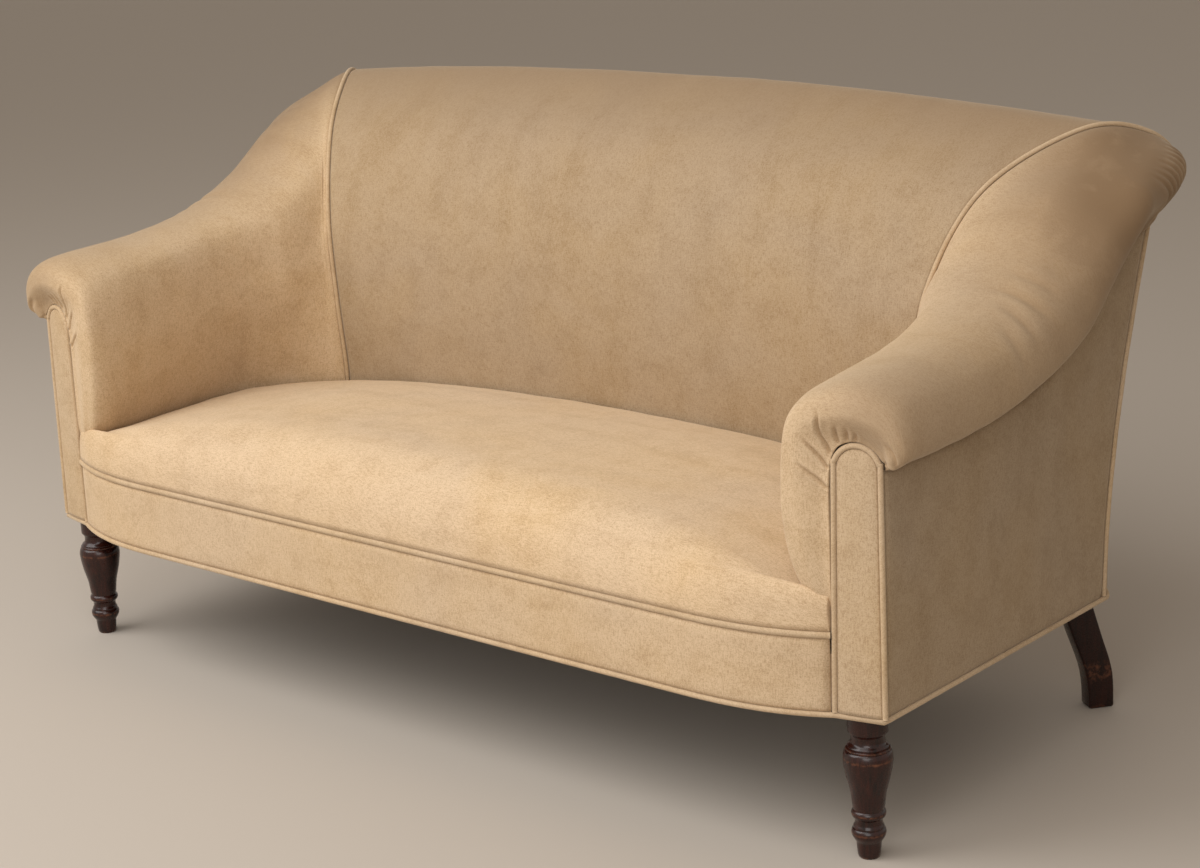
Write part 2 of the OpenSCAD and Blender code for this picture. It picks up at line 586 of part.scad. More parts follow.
module front_rail() {
    color(frame_colour) {
        translate([0, 0, frame_bottom_h]) linear_extrude(height = rail_h)
        polygon(concat(bow_line(post_inner_x, panel_gap + clear),
            reversed(bow_line(post_inner_x, panel_gap + rail_t))));
        tenon_along_x(post_inner_x - overrun, front_tenon_y, tenon_l + overrun, 0);
        mirror([1, 0, 0]) tenon_along_x(post_inner_x - overrun, front_tenon_y, tenon_l + overrun, 0);
    }
}
module front_post_right() {
    color(frame_colour) difference() {
        translate([0, 0, frame_bottom_h]) linear_extrude(height = post_top_h - frame_bottom_h)
        polygon([[post_inner_x, facing_back_y(post_inner_x)], [frame_x, facing_back_y(frame_x)],
            [frame_x, front_post_back_y], [post_inner_x, front_post_back_y]]);
        tenon_along_x(post_inner_x - overrun, front_tenon_y, tenon_l + overrun, tenon_gap);
        tenon_along_y(side_tenon_x, front_post_back_y - tenon_l - tenon_gap, tenon_l + overrun,
            tenon_gap);
        translate([leg_x, leg_y, frame_bottom_h - overrun])
        cylinder(d = leg_dowel_d + 2 * tenon_gap, h = leg_dowel_l + overrun + tenon_gap);
    }
}
module front_post_left() { mirror([1, 0, 0]) front_post_right(); }
module side_rail_right() {
    rear_end_y = back_post_front_y(frame_bottom_h);
    color(frame_colour) {
        translate([frame_x - rail_t, front_post_back_y, frame_bottom_h])
        cube([rail_t, rear_end_y - front_post_back_y, rail_h]);
        tenon_along_y(side_tenon_x, front_post_back_y - tenon_l, tenon_l + overrun, 0);
        tenon_along_y(side_tenon_x, rear_end_y - overrun, tenon_l + overrun, 0);
    }
}
module side_rail_left() { mirror([1, 0, 0]) side_rail_right(); }

back_rail_end_y = back_post_front_y(frame_bottom_h) + tenon_t / 2;
back_rail_mid_y = back_rail_end_y + 1.8 * rail_t;
back_tenon_y = mixed(back_rail_end_y, back_post_rear_y(frame_bottom_h), 1 / 2);
function rail_rear_y(x) = min([for (z = [cover_bottom_h, each [for (h = panel_heights)
    if (h < rail_top_h) h], rail_top_h]) rear_frame_y(x, z)]) - clear;
module back_rail() {
    inner_x = post_inner_x;
    right = concat([[inner_x, rail_rear_y(inner_x)]], [for (share = rear_x_shares)
        let (x = rear_edge_x * share) if (x < inner_x) [x, rail_rear_y(x)]]);
    left = [for (i = [len(right) - 2:-1:0]) [-right[i].x, right[i].y]];
    color(frame_colour) difference() {
        union() {
            translate([0, 0, frame_bottom_h]) linear_extrude(height = rail_h)
            polygon(concat(right, left, [[-inner_x, back_rail_end_y],
                [-inner_x + 1.5 * block_l, back_rail_end_y],
                [-inner_x + 2 * block_l, back_rail_mid_y],
                [inner_x - 2 * block_l, back_rail_mid_y],
                [inner_x - 1.5 * block_l, back_rail_end_y], [inner_x, back_rail_end_y]]));
            for (side = [0, 1]) mirror([side, 0, 0])
            tenon_along_x(inner_x - overrun, back_tenon_y, tenon_l + overrun, 0);
        }
        for (side = [0, 1]) mirror([side, 0, 0])
        translate([back_leg_top.x, back_leg_top.y, frame_bottom_h - overrun])
        cylinder(d = back_dowel_d + 2 * tenon_gap, h = leg_dowel_l + overrun + tenon_gap);
    }
}
top_board_low_h = outside_seam_h + clear;
arm_board_t = post_w - facing_edge * 3;
board_inset = cover_t + stuffing_t + 3 * facing_edge;
back_post_top_h = ridge_h(rise_shares[stations]) - board_inset - 1.4 * board_drop;
module back_post_right() {
    heights = [frame_bottom_h, each [for (i = [1:len(back_line) - 1]) back_line[i].y],
        back_post_top_h];
    rear = [for (z = heights) [back_post_rear_y(min(z, outside_seam_h)), z]];
    front = [for (i = [len(heights) - 1:-1:0]) [rear[i].x - back_post_d, heights[i]]];
    color(frame_colour) difference() {
        translate([post_inner_x, 0, 0]) rotate([90, 0, 90])
        linear_extrude(height = post_outer_x - post_inner_x) polygon(concat(rear, front));
        tenon_along_y(side_tenon_x, back_post_front_y(frame_bottom_h) - overrun,
            tenon_l + overrun, tenon_gap);
        tenon_along_x(post_inner_x - overrun, back_tenon_y, tenon_l + overrun, tenon_gap);
    }
}
module back_post_left() { mirror([1, 0, 0]) back_post_right(); }

module arm_board_right() {
    ridge = [for (u = row_shares) if (u > 0.2)
        let (under = stuffing_row(u, [4.5, 5, 5.5], stuffing_end))
        [side_x, under[1].y, min([for (p = under) p.z]) - 2 * clear]];
    seam = [for (u = row_shares) if (u > 0.35) skin(u, guides)];
    board_front_y = front_y + facing_in + post_d / 2;
    function before_post(y, z) = min(y, back_post_front_y(min(z, outside_seam_h)) - clear);
    top = [for (p = ridge) let (z = p.z)
        if (p.y > board_front_y && p.y < back_post_front_y(min(z, outside_seam_h)) - clear) [p.y, z]];
    bottom = [for (p = seam) let (z = p.z - board_drop)
        if (p.y < back_post_front_y(z) - clear) [p.y, z]];
    last_top_h = back_post_top_h - board_inset / 2;
    last_bottom_h = bottom[len(bottom) - 1].y + board_drop;
    color(frame_colour) translate([post_outer_x - arm_board_t, 0, 0]) rotate([90, 0, 90])
    linear_extrude(height = arm_board_t) polygon(concat(
        [[board_front_y, post_top_h], [board_front_y, ridge[0].z]], top,
        [[before_post(side_x, last_top_h), last_top_h],
            [before_post(side_x, last_bottom_h), last_bottom_h]],
        reversed(bottom), [[front_post_back_y, post_top_h]]));
}
module arm_board_left() { mirror([1, 0, 0]) arm_board_right(); }

module back_top_board() {
    rear = back_post_rear_y(outside_seam_h);
    half = [for (share = [1, 0.75, 0.5, 0.25, 0]) [post_inner_x * share,
        section(2 - min(share, 0.93))[5].z - board_inset - 3 * facing_edge]];
    color(frame_colour) translate([0, rear, 0]) rotate([90, 0, 0])
    linear_extrude(height = top_board_t) polygon(concat(half,
        [for (i = [len(half) - 2:-1:0]) [-half[i].x, half[i].y]],
        [[-post_inner_x, top_board_low_h], [post_inner_x, top_board_low_h]]));
}
upright_x = body_w / 6;
module back_uprights() {
    rear = [for (z = [rail_top_h, each [for (h = panel_heights) if (h > rail_top_h) h]])
        [rear_frame_y(upright_x, z) - 2 * clear, z]];
    top_y = back_post_rear_y(outside_seam_h);
    color(frame_colour) for (side = [-1, 1])
    translate([side * upright_x - back_post_d / 2, 0, 0]) rotate([90, 0, 90])
    linear_extrude(height = back_post_d) polygon(concat(rear, [[top_y, top_board_low_h],
        [top_y - top_board_t, top_board_low_h], [rear[0].x - back_post_d, rail_top_h]]));
}

tack_low_h = tuck_h;
tack_inner_x = frame_x - tack_rail_t;
module arm_tacking_rail_right() {
    color(frame_colour) translate([tack_inner_x, front_post_back_y, tack_low_h])
    cube([tack_rail_t, back_post_front_y(tack_low_h) - clear - front_post_back_y, tack_rail_h]);
}
module arm_tacking_rail_left() { mirror([1, 0, 0]) arm_tacking_rail_right(); }
back_hessian_y = middle_net[3].y + cover_t + stuffing_t + 9 * clear;
module back_tacking_rail() {
    color(frame_colour) translate([-tack_inner_x, back_hessian_y + hessian_t, tack_low_h])
    cube([2 * tack_inner_x, tack_rail_t, tack_rail_h]);
}

// Corner blocks, screwed to the side rails
block_low_h = frame_bottom_h + facing_edge;
block_screw_z = block_low_h + block_h / 2;
block_places = [[front_post_back_y, 0], [back_post_front_y(frame_bottom_h), 1]];
screw_head_d = 1.9 * screw_d;
screw_head_h = screw_d / 2;
screw_in_block = 0.55 * screw_l;
module at_blocks() {
    for (side = [0, 1]) mirror([side, 0, 0]) for (place = block_places)
    translate([frame_x - rail_t, place.x, 0]) mirror([0, place.y, 0]) children();
}
module corner_blocks() {
    color(frame_colour) at_blocks() difference() {
        translate([0, 0, block_low_h]) linear_extrude(height = block_h)
        polygon([[0, 0], [0, block_l], [-block_l, 0]]);
        translate([-screw_in_block, block_l / 3, block_screw_z]) rotate([0, 90, 0])
        cylinder(d = screw_d, h = screw_in_block + overrun);
        translate([-block_l, block_l / 3, block_screw_z]) rotate([0, 90, 0])
        cylinder(d = screw_head_d + 2 * tenon_gap, h = block_l - screw_in_block);
    }
}
module corner_block_screws() {
    color(steel_colour) at_blocks()
    translate([-screw_in_block - screw_head_h, block_l / 3, block_screw_z]) rotate([0, 90, 0]) {
        cylinder(d = screw_head_d, h = screw_head_h);
        cylinder(d = screw_d, h = screw_in_block + screw_head_h);
    }
}

// Springing
strap_top_h = frame_bottom_h;
strap_mid_h = frame_bottom_h - strap_t;
strap_low_h = frame_bottom_h - 2 * strap_t;
long_first_y = leg_y + spring_d;
long_last_y = back_post_front_y(frame_bottom_h) - 1.85 * spring_d;
cross_half_x = post_inner_x - 1.5 * spring_d;
function long_y(i) = mixed(long_first_y, long_last_y, i / (long_straps - 1));
function cross_x(i) = mixed(-cross_half_x, cross_half_x, i / (cross_straps - 1));
module seat_webbing_long() {
    half = frame_x - welt_r;
    color(hessian_colour) for (i = [0:long_straps - 1])
    translate([-half, long_y(i) - strap_w / 2, strap_low_h]) cube([2 * half, strap_w, strap_t]);
}
module seat_webbing_cross() {
    color(hessian_colour) for (i = [0:cross_straps - 1])
    let (x = cross_x(i), from = bow_y(abs(x) + strap_w / 2) + panel_gap + welt_r,
        to = rear_frame_y(cross_half_x, frame_bottom_h) - rail_t)
    translate([x - strap_w / 2, from, strap_mid_h]) cube([strap_w, to - from, strap_t]);
}
seat_spring_l = tuck_h - hessian_t - strap_top_h;
module coil_sleeve(length, end_d, waist_d) {
    rotate_extrude() polygon([[end_d / 2 - wire_d, 0], [end_d / 2, 0], [waist_d / 2, length / 2],
        [end_d / 2, length], [end_d / 2 - wire_d, length], [waist_d / 2 - wire_d, length / 2]]);
}
module seat_springs() {
    color(steel_colour) for (i = [0:cross_straps - 1], j = [0:long_straps - 1])
    translate([cross_x(i), long_y(j), strap_top_h])
    coil_sleeve(seat_spring_l, spring_d, spring_waist_d);
}
module seat_hessian() {
    edge = cover_t + 5 * clear + facing_edge;
    outline = concat([for (s = seat_across_shares) seat_point(s, 0, edge)],
        [for (t = seat_deep_shares) if (t > 0) seat_point(1, t, edge)],
        [for (s = reversed(seat_across_shares)) if (abs(s) < 1) seat_point(s, 1, edge)],
        [for (t = reversed(seat_deep_shares)) if (t > 0) seat_point(-1, t, edge)]);
    color(hessian_colour) translate([0, 0, tuck_h - hessian_t]) linear_extrude(height = hessian_t)
    polygon([for (p = outline) [p.x, p.y]]);
}
module dust_cover() {
    half = leg_x - neck_d / 2 - 2 * facing_edge;
    notch_x = half - 1.5 * back_leg_w;
    front_gap = panel_gap + welt_r;
    color(dust_colour) translate([0, 0, strap_low_h - dust_t]) linear_extrude(height = dust_t)
    polygon(concat(bow_line(half, front_gap), [[half, back_rail_end_y + welt_r],
        [notch_x, back_rail_end_y + welt_r], [notch_x, rear_frame_y(notch_x, base_h) - rail_t],
        [-notch_x, rear_frame_y(notch_x, base_h) - rail_t], [-notch_x, back_rail_end_y + welt_r],
        [-half, back_rail_end_y + welt_r]]));
}
dust_t = 1;

// Springing of the back: upright straps behind, springs that lie forwards to the hessian
back_strap_x_shares = [-0.78, -0.53, -0.12, 0.12, 0.53, 0.78];
back_spring_share = 0.62;
strap_foot_y = rear_frame_y(0, rail_top_h) - back_post_d - 3 * clear;
strap_head_y = back_post_rear_y(outside_seam_h) - top_board_t - clear;
strap_head_h = mixed(top_board_low_h, back_post_top_h, 1 / 3);
function strap_y(z) = mixed(strap_foot_y, strap_head_y, (z - rail_top_h) / (strap_head_h - rail_top_h))
    - strap_t;
back_hessian_top_h = seam_net[3].z + stuffing_t / 2;
back_spring_heights = [for (share = [0.42, 0.8]) mixed(tuck_h, back_hessian_top_h, share)];
module back_webbing() {
    color(hessian_colour) for (share = back_strap_x_shares)
    translate([share * post_inner_x - strap_w / 2, 0, 0]) rotate([90, 0, 90])
    linear_extrude(height = strap_w) polygon([[strap_foot_y, rail_top_h],
        [strap_head_y, strap_head_h], [strap_head_y - strap_t, strap_head_h],
        [strap_foot_y - strap_t, rail_top_h]]);
}
module back_springs() {
    end_d = back_spring_share * spring_d;
    color(steel_colour) for (share = back_strap_x_shares, z = back_spring_heights)
    let (from = back_hessian_y + hessian_t, to = strap_y(z - end_d / 2) - clear)
    translate([share * post_inner_x, to, z]) rotate([90, 0, 0])
    coil_sleeve(to - from, end_d, back_spring_share * spring_waist_d);
}
module back_hessian() {
    half = abs(back_strap_x_shares[0]) * post_inner_x + spring_d / 2;
    color(hessian_colour) translate([-half, back_hessian_y, tack_low_h])
    cube([2 * half, hessian_t, back_hessian_top_h - tack_low_h]);
}

// Legs
function bead(z, r, tall, depth) = [for (a = [-90:30:90])
    [r - depth + depth * cos(a), z + tall / 2 * sin(a)]];
leg_l = frame_bottom_h;
vase_shares = [[0.355, 0.65], [0.45, 0.71], [0.52, 0.81], [0.58, 0.90], [0.65, 0.975], [0.69, 1],
    [0.73, 0.98], [0.755, 0.93], [0.772, 0.84]];
module front_leg_right() {
    foot_r = foot_d / 2;
    profile = concat([[0, 0], [foot_r - facing_edge, 0], [foot_r, facing_edge], [foot_r, 0.03 * leg_l],
            [1.1 * foot_r, 0.1 * leg_l]],
        bead(0.172 * leg_l, ring_d / 2, 0.085 * leg_l, ring_d / 9),
        [[ankle_d / 2, 0.235 * leg_l], [ankle_d / 2, 0.268 * leg_l]],
        bead(0.309 * leg_l, ring_d / 2, 0.055 * leg_l, ring_d / 12),
        [for (share = vase_shares) [share.y * vase_d / 2, share.x * leg_l]],
        [[neck_d / 2, 0.785 * leg_l], [neck_d / 2, 0.85 * leg_l], [collar_d / 2, 0.88 * leg_l],
            [collar_d / 2, leg_l], [leg_dowel_d / 2, leg_l],
            [leg_dowel_d / 2, leg_l + leg_dowel_l], [0, leg_l + leg_dowel_l]]);
    color(leg_colour) translate([leg_x, leg_y, 0]) rotate_extrude() polygon(profile);
}
module front_leg_left() { mirror([1, 0, 0]) front_leg_right(); }

back_dowel_d = 0.5 * back_leg_w;
back_foot = [side_x - back_foot_in, deep(2) - back_foot_inset];
back_leg_top = back_foot - back_sweep * [cos(back_leg_turn), sin(back_leg_turn)];
// Height shares, with the share of the sweep and of the growth in depth that each height has
sweep_shares = [[0, 0, 0], [0.13, 0.01, 0.1], [0.25, 0.06, 0.3], [0.37, 0.18, 0.5],
    [0.5, 0.36, 0.65], [0.62, 0.52, 0.8], [0.78, 0.72, 0.9], [1, 1, 1]];
module back_leg_right() {
    rows = [for (share = sweep_shares) let (
        middle = -back_sweep * share.y, depth = mixed(back_foot_d, back_leg_d, share.z))
        [middle, depth, share.x * frame_bottom_h]];
    color(leg_colour) {
        translate([back_foot.x, back_foot.y, 0]) rotate([0, 0, back_leg_turn])
        translate([0, back_leg_w / 2, 0]) rotate([90, 0, 0])
        linear_extrude(height = back_leg_w) polygon(concat(
            [for (row = rows) [row[0] - row[1] / 2, row[2]]],
            [for (row = reversed(rows)) [row[0] + row[1] / 2, row[2]]]));
        translate([back_leg_top.x, back_leg_top.y, frame_bottom_h - overrun])
        cylinder(d = back_dowel_d, h = leg_dowel_l + overrun);
    }
}
module back_leg_left() { mirror([1, 0, 0]) back_leg_right(); }

seat_cover();
seat_stuffing();
inside_back_cover();
back_stuffing();
inside_arm_cover_left();
inside_arm_cover_right();
arm_stuffing_left();
arm_stuffing_right();
outside_arm_cover_left();
outside_arm_cover_right();
outside_back_cover();
front_border();
arm_facing_left();
arm_facing_right();
dust_cover();
seat_welt();
bottom_welt();
facing_welt_left();
facing_welt_right();
arm_back_piping_left();
arm_back_piping_right();
rear_edge_welt_left();
rear_edge_welt_right();
front_rail();
side_rail_left();
side_rail_right();
back_rail();
front_post_left();
front_post_right();
back_post_left();
back_post_right();
arm_board_left();
arm_board_right();
back_top_board();
back_uprights();
arm_tacking_rail_left();
arm_tacking_rail_right();
back_tacking_rail();
corner_blocks();
corner_block_screws();
seat_webbing_long();
seat_webbing_cross();
seat_springs();
seat_hessian();
back_webbing();
back_springs();
back_hessian();
front_leg_left();
front_leg_right();
back_leg_left();
back_leg_right();
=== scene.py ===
# Upholstered settee: rolled arms and back, sprung seat, turned front legs, swept back legs
import math
import bpy
import numpy as np
from mathutils import Matrix, Vector, noise


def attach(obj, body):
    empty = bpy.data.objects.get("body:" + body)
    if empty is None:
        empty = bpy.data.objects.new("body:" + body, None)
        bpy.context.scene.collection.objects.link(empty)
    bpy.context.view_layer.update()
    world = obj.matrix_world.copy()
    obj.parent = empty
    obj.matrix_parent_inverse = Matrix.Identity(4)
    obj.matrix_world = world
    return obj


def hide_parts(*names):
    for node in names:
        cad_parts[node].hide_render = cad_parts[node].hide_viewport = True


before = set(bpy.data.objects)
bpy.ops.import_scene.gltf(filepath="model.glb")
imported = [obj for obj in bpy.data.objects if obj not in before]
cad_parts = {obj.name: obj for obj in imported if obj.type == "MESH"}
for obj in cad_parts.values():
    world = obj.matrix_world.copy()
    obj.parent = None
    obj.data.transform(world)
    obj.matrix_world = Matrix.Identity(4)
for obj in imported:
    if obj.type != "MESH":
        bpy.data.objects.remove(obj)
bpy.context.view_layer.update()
bpy.ops.object.select_all(action="DESELECT")


# Camera, at the photograph's viewing angle
camera = {"place": (2.2935, -2.6224, 1.3188), "lens": 75.23,
          "yaw": -0.70599, "pitch": 0.2709, "roll": -0.042158}


def addCamera():
    yaw, pitch, roll = camera["yaw"], camera["pitch"], camera["roll"]
    forward = Vector((math.sin(yaw) * math.cos(pitch), math.cos(yaw) * math.cos(pitch), -math.sin(pitch)))
    right = Vector((math.cos(yaw), -math.sin(yaw), 0))
    up = right.cross(forward)
    across = math.cos(roll) * right + math.sin(roll) * up
    upward = math.cos(roll) * up - math.sin(roll) * right
    data = bpy.data.cameras.new("camera")
    data.lens, data.sensor_width = camera["lens"], 36
    obj = bpy.data.objects.new("camera", data)
    bpy.context.collection.objects.link(obj)
    turn = Matrix((across, upward, -forward)).transposed().to_4x4()
    turn.translation = camera["place"]
    obj.matrix_world = turn
    bpy.context.scene.camera = obj


addCamera()
print("camera placed")


# Materials: a socket that takes part in sums, and a maker of nodes
class Wire:
    def __init__(self, maker, socket):
        self.maker, self.socket = maker, socket

    def sum(self, operation, first, second):
        return self.maker.node("Math", {"operation": operation}, {0: first, 1: second})

    def __add__(self, other):
        return self.sum("ADD", self, other)

    def __radd__(self, other):
        return self.sum("ADD", other, self)

    def __sub__(self, other):
        return self.sum("SUBTRACT", self, other)

    def __rsub__(self, other):
        return self.sum("SUBTRACT", other, self)

    def __mul__(self, other):
        return self.sum("MULTIPLY", self, other)

    def __rmul__(self, other):
        return self.sum("MULTIPLY", other, self)


class Finish:
    def __init__(self, name, **constants):
        self.material = bpy.data.materials.new(name)
        self.material.use_nodes = True
        self.tree = self.material.node_tree
        self.shader = self.tree.nodes["Principled BSDF"]
        for key, value in constants.items():
            self.shader.inputs[key.replace("_", " ")].default_value = value

    def node(self, kind, settings, inputs, output=0):
        made = self.tree.nodes.new("ShaderNode" + kind)
        for key, value in settings.items():
            setattr(made, key, value)
        for key, value in inputs.items():
            if isinstance(value, Wire):
                self.tree.links.new(value.socket, made.inputs[key])
            elif hasattr(value, "__len__") and len(made.inputs[key].default_value) == 4:
                made.inputs[key].default_value = (*value, 1)
            else:
                made.inputs[key].default_value = value
        return Wire(self, made.outputs[output])

    def place(self):
        return self.node("TexCoord", {}, {}, "Object")

    def along(self, name):
        return self.node("UVMap", {"uv_map": name}, {})

    def attribute(self, name):
        return self.node("Attribute", {"attribute_name": name}, {}, "Fac")

    def noise(self, vector, scale, detail, roughness, distortion=0.0):
        return self.node("TexNoise", {}, {"Vector": vector, "Scale": scale, "Detail": detail,
                                          "Roughness": roughness, "Distortion": distortion})

    def threads(self, vector, scale, *more):    # noise drawn out along an axis
        return self.noise(self.node("VectorMath", {"operation": "MULTIPLY"}, {0: vector, 1: scale}),
                          1.0, *more)

    def between(self, value, low, high, fromZero=0.0, toOne=1.0):
        return self.node("MapRange", {}, {"Value": value, "From Min": low, "From Max": high,
                                          "To Min": fromZero, "To Max": toOne})

    def blend(self, share, first, second):
        return self.node("Mix", {"data_type": "RGBA", "blend_type": "MIX", "clamp_factor": True},
                         {0: share, 6: first, 7: second}, 2)

    def layered(self, base, *layers):           # each layer: what shows it, from, to, at most, its colour
        for mask, low, high, most, colour in layers:
            base = self.blend(self.between(mask, low, high, 0.0, most), base, colour)
        return base

    def bumped(self, height, depth, strength):
        return self.node("Bump", {}, {"Height": height, "Distance": depth, "Strength": strength})

    def feed(self, **links):
        for key, wire in links.items():
            self.tree.links.new(wire.socket, self.shader.inputs[key.replace("_", " ")])
        return self.material


cloth = {"tan": (0.57, 0.40, 0.222), "pale": (0.66, 0.495, 0.325), "deep": (0.38, 0.245, 0.13),
         "greyed": (0.56, 0.43, 0.3), "paintedShadeColour": (0.25, 0.16, 0.088), "sheenTint": (1.0, 0.88, 0.7),
         "sheen": 0.3, "threadsPerMetre": 620, "slubs": (480, 95), "ribs": (110, 480), "brush": (15, 3.2),
         "pile": 680.0, "pileDepth": 0.0006, "nap": 4.2, "clouds": 26.0}


def clothFinish(name, tone, streak=1.0, bias=False, brush=cloth["brush"]):
    finish = Finish(name, Sheen_Weight=cloth["sheen"], Sheen_Roughness=0.45, Specular_IOR_Level=0.12)
    finish.shader.inputs["Sheen Tint"].default_value = (*cloth["sheenTint"], 1)
    # tone scales every colour of the piece, which makes lit and shaded copies of one velvet: painted light
    # and shade
    tan, pale, deepTan, greyed = ([part * tone for part in cloth[key]]
                                  for key in ("tan", "pale", "deep", "greyed"))
    laid = finish.along("cloth")
    if bias:                                    # piping is cut on the bias
        laid = finish.node("Mapping", {}, {"Vector": laid, "Rotation": (0, 0, math.radians(45))})
    place = finish.place()
    count = cloth["threadsPerMetre"]
    warp = finish.threads(laid, (count, count * 0.22, 1), 2.0, 0.6)
    weft = finish.threads(laid, (count * 0.35, count, 1), 2.0, 0.6, 0.2)
    slubs, ribs = (finish.threads(laid, (*cloth[key], 1), 2.0, 0.6, 0.3) for key in ("slubs", "ribs"))
    pile = finish.noise(place, cloth["pile"], 3.0, 0.7)
    nap = finish.noise(place, cloth["nap"], 3.0, 0.5, 0.4)
    brushed = finish.threads(laid, (*brush, 1), 4.0, 0.62, 0.5)
    clouds = finish.noise(place, cloth["clouds"], 4.0, 0.6, 0.3)
    fold, seam, soil = (finish.attribute(key) for key in ("fold", "seam", "soil"))
    weave = warp * 0.2 + weft * 0.12 + pile * 0.42 + slubs * 0.15 + ribs * 0.11
    base = finish.layered(
        tan, (nap, 0.38, 0.64, 0.7, greyed), (brushed, 0.4, 0.68, 0.45, pale),
        (clouds, 0.42, 0.64, 0.32, pale), (clouds, 0.5, 0.36, 0.2, deepTan),
        (brushed, 0.46, 0.28, 0.3, deepTan), (weave, 0.51, 0.42, 0.62 * streak, deepTan),
        (weave, 0.49, 0.575, 0.62 * streak, pale))
    # painted shade over the rolls and towards the rear: a dark brown blended in patchily where the piece's
    # mask is set
    base = finish.blend(soil * finish.between(nap * 0.5 + clouds * 0.5, 0.35, 0.55, 0.75, 1.0),
                        base, cloth["paintedShadeColour"])
    # painted highlight on crease ridges and the piping, painted shade in crease valleys and close to each
    # seam
    edged = finish.layered(base, (fold, 0.0, 1.0, 0.3, pale), (fold, 0.0, -1.0, 0.45, deepTan),
                           (seam, 0.0022, 0.0, 0.3, deepTan))
    return finish.feed(Base_Color=edged, Roughness=finish.between(nap, 0.3, 0.7, 0.84, 0.95),
                       Normal=finish.bumped(weave, cloth["pileDepth"], 0.6))


# Shape of the covers: the same guides as the solids, in metres
settee = {"width": 1.514, "seatDepth": 0.465, "backDepth": 0.223, "backOverhang": 0.077,
          "armThick": 0.135, "armOverhang": 0.04, "base": 0.186, "welt": 0.29, "tuck": 0.3,
          "seatSide": 0.34, "crown": 0.404, "arm": 0.598, "back": 0.831,
          "facingWidth": 0.063, "facingSpring": 0.496, "facingIn": 0.043, "facingOut": 0.056,
          "straightHalf": 0.48, "panel": 0.005, "facing": 0.009, "stuffing": 0.03, "thinnest": 0.004,
          "seatWelt": 0.009, "piping": 0.007}
sideX = settee["width"] / 2
frontY = -(settee["seatDepth"] + settee["backDepth"] + settee["backOverhang"]) / 2
innerX = sideX - settee["facingWidth"]
pipingR = settee["piping"] / 2
weltR = settee["seatWelt"] / 2
gap = 0.0003
coverBottom = settee["base"] + settee["piping"] + gap
frameBottom = settee["base"] + pipingR + 0.004

riseShares = (0, 0, 0, 0.05, 0.14, 0.32, 0.585, 0.74, 0.895)   # how far each section's ridge has risen
armSections = (                                # shares across, in depth and in height, from tuck to outside
    ((0.49, 0.125, 0), (0.49, 0.102, 0.135), (0.49, 0.1, 0.36), (0.49, 0.1, 0.62), (0.42, 0.103, 0.735),
     (0.235, 0.114, 0.77), (0.06, 0.124, 0.735), (-0.1, 0.129, 0.68), (0, 0.135, 0.66)),
    ((0.48, 0.14, 0), (0.66, 0.088, 0.135), (0.78, 0.07, 0.36), (0.83, 0.065, 0.63), (0.74, 0.065, 0.83),
     (0.25, 0.07, 0.895), (-0.33, 0.086, 0.84), (-0.75, 0.103, 0.725), (-0.1, 0.145, 0.663)),
    ((0.47, 0.175, 0), (0.81, 0.14, 0.135), (0.97, 0.125, 0.36), (1, 0.125, 0.65), (0.86, 0.135, 0.9),
     (0.27, 0.145, 1), (-0.6, 0.155, 0.93), (-1, 0.17, 0.74), (0.035, 0.2, 0.665)),
    ((0.52, 0.49, 0), (0.75, 0.49, 0.15), (0.91, 0.49, 0.4), (0.97, 0.49, 0.65), (0.87, 0.495, 0.93),
     (0.27, 0.5, 1), (-0.65, 0.5, 0.92), (-1, 0.5, 0.73), (0.035, 0.5, 0.64)),
    ((0.7, 0.71, 0), (0.78, 0.71, 0.15), (0.97, 0.71, 0.4), (1.08, 0.715, 0.66), (0.98, 0.725, 0.93),
     (0.27, 0.745, 1), (-0.65, 0.75, 0.92), (-1, 0.755, 0.75), (0.035, 0.755, 0.635)),
    ((1, 0.87, 0), (1.06, 0.87, 0.145), (1.23, 0.87, 0.38), (1.34, 0.875, 0.64), (1.17, 0.89, 0.9),
     (0.32, 0.94, 1), (-0.65, 0.965, 0.925), (-1, 0.98, 0.77), (0.035, 0.98, 0.635)),
    ((1.32, 0.95, 0), (1.38, 0.948, 0.135), (1.465, 0.95, 0.36), (1.44, 0.955, 0.61), (1.18, 1.02, 0.87),
     (0.37, 1.23, 1), (-0.65, 1.31, 0.93), (-1, 1.34, 0.815), (0.035, 1.29, 0.69)),
    ((1.52, 0.976, 0), (1.55, 0.972, 0.125), (1.545, 0.966, 0.345), (1.465, 0.98, 0.61), (1.16, 1.175, 0.875),
     (0.45, 1.54, 1), (-0.6, 1.67, 0.96), (-1, 1.72, 0.88), (0.035, 1.65, 0.77)),
    ((1.61, 0.995, 0), (1.64, 0.995, 0.12), (1.61, 0.98, 0.355), (1.49, 1, 0.615), (1.15, 1.28, 0.86),
     (0.57, 1.81, 0.992), (0.175, 2.48, 0.97), (0.01, 2.9, 0.875), (0.035, 1.98, 0.745)))
backSection = ((1.09, 0), (1.08, 0.12), (1, 0.35), (1.03, 0.61), (1.3, 0.86), (1.9, 1), (2.45, 0.965),
               (3, 0.86), (1.98, 0.71))
cornerCurve = 2.2
backLine = ((0.528, 0), (0.536, 0.09), (0.553, 0.2), (0.585, 0.31), (0.645, 0.46), (0.742, 0.64),
            (0.866, 0.82), (1, 1))
rearBow = (0.4, 0.375, 0.335, 0.285, 0.215, 0.13, 0.06, 0)
rearCorner = {"width": 0.117, "power": 1.5}
# How the covers turn in at the corner seam, and how far the rear end of an arm's roll stands out there
seamTurn = {"gap": 0.0002, "leave": 1.4, "arrive": 0.8, "cap": (0.001, 0.0, 0.0), "crest": (0.0, 0.0, 0.005)}


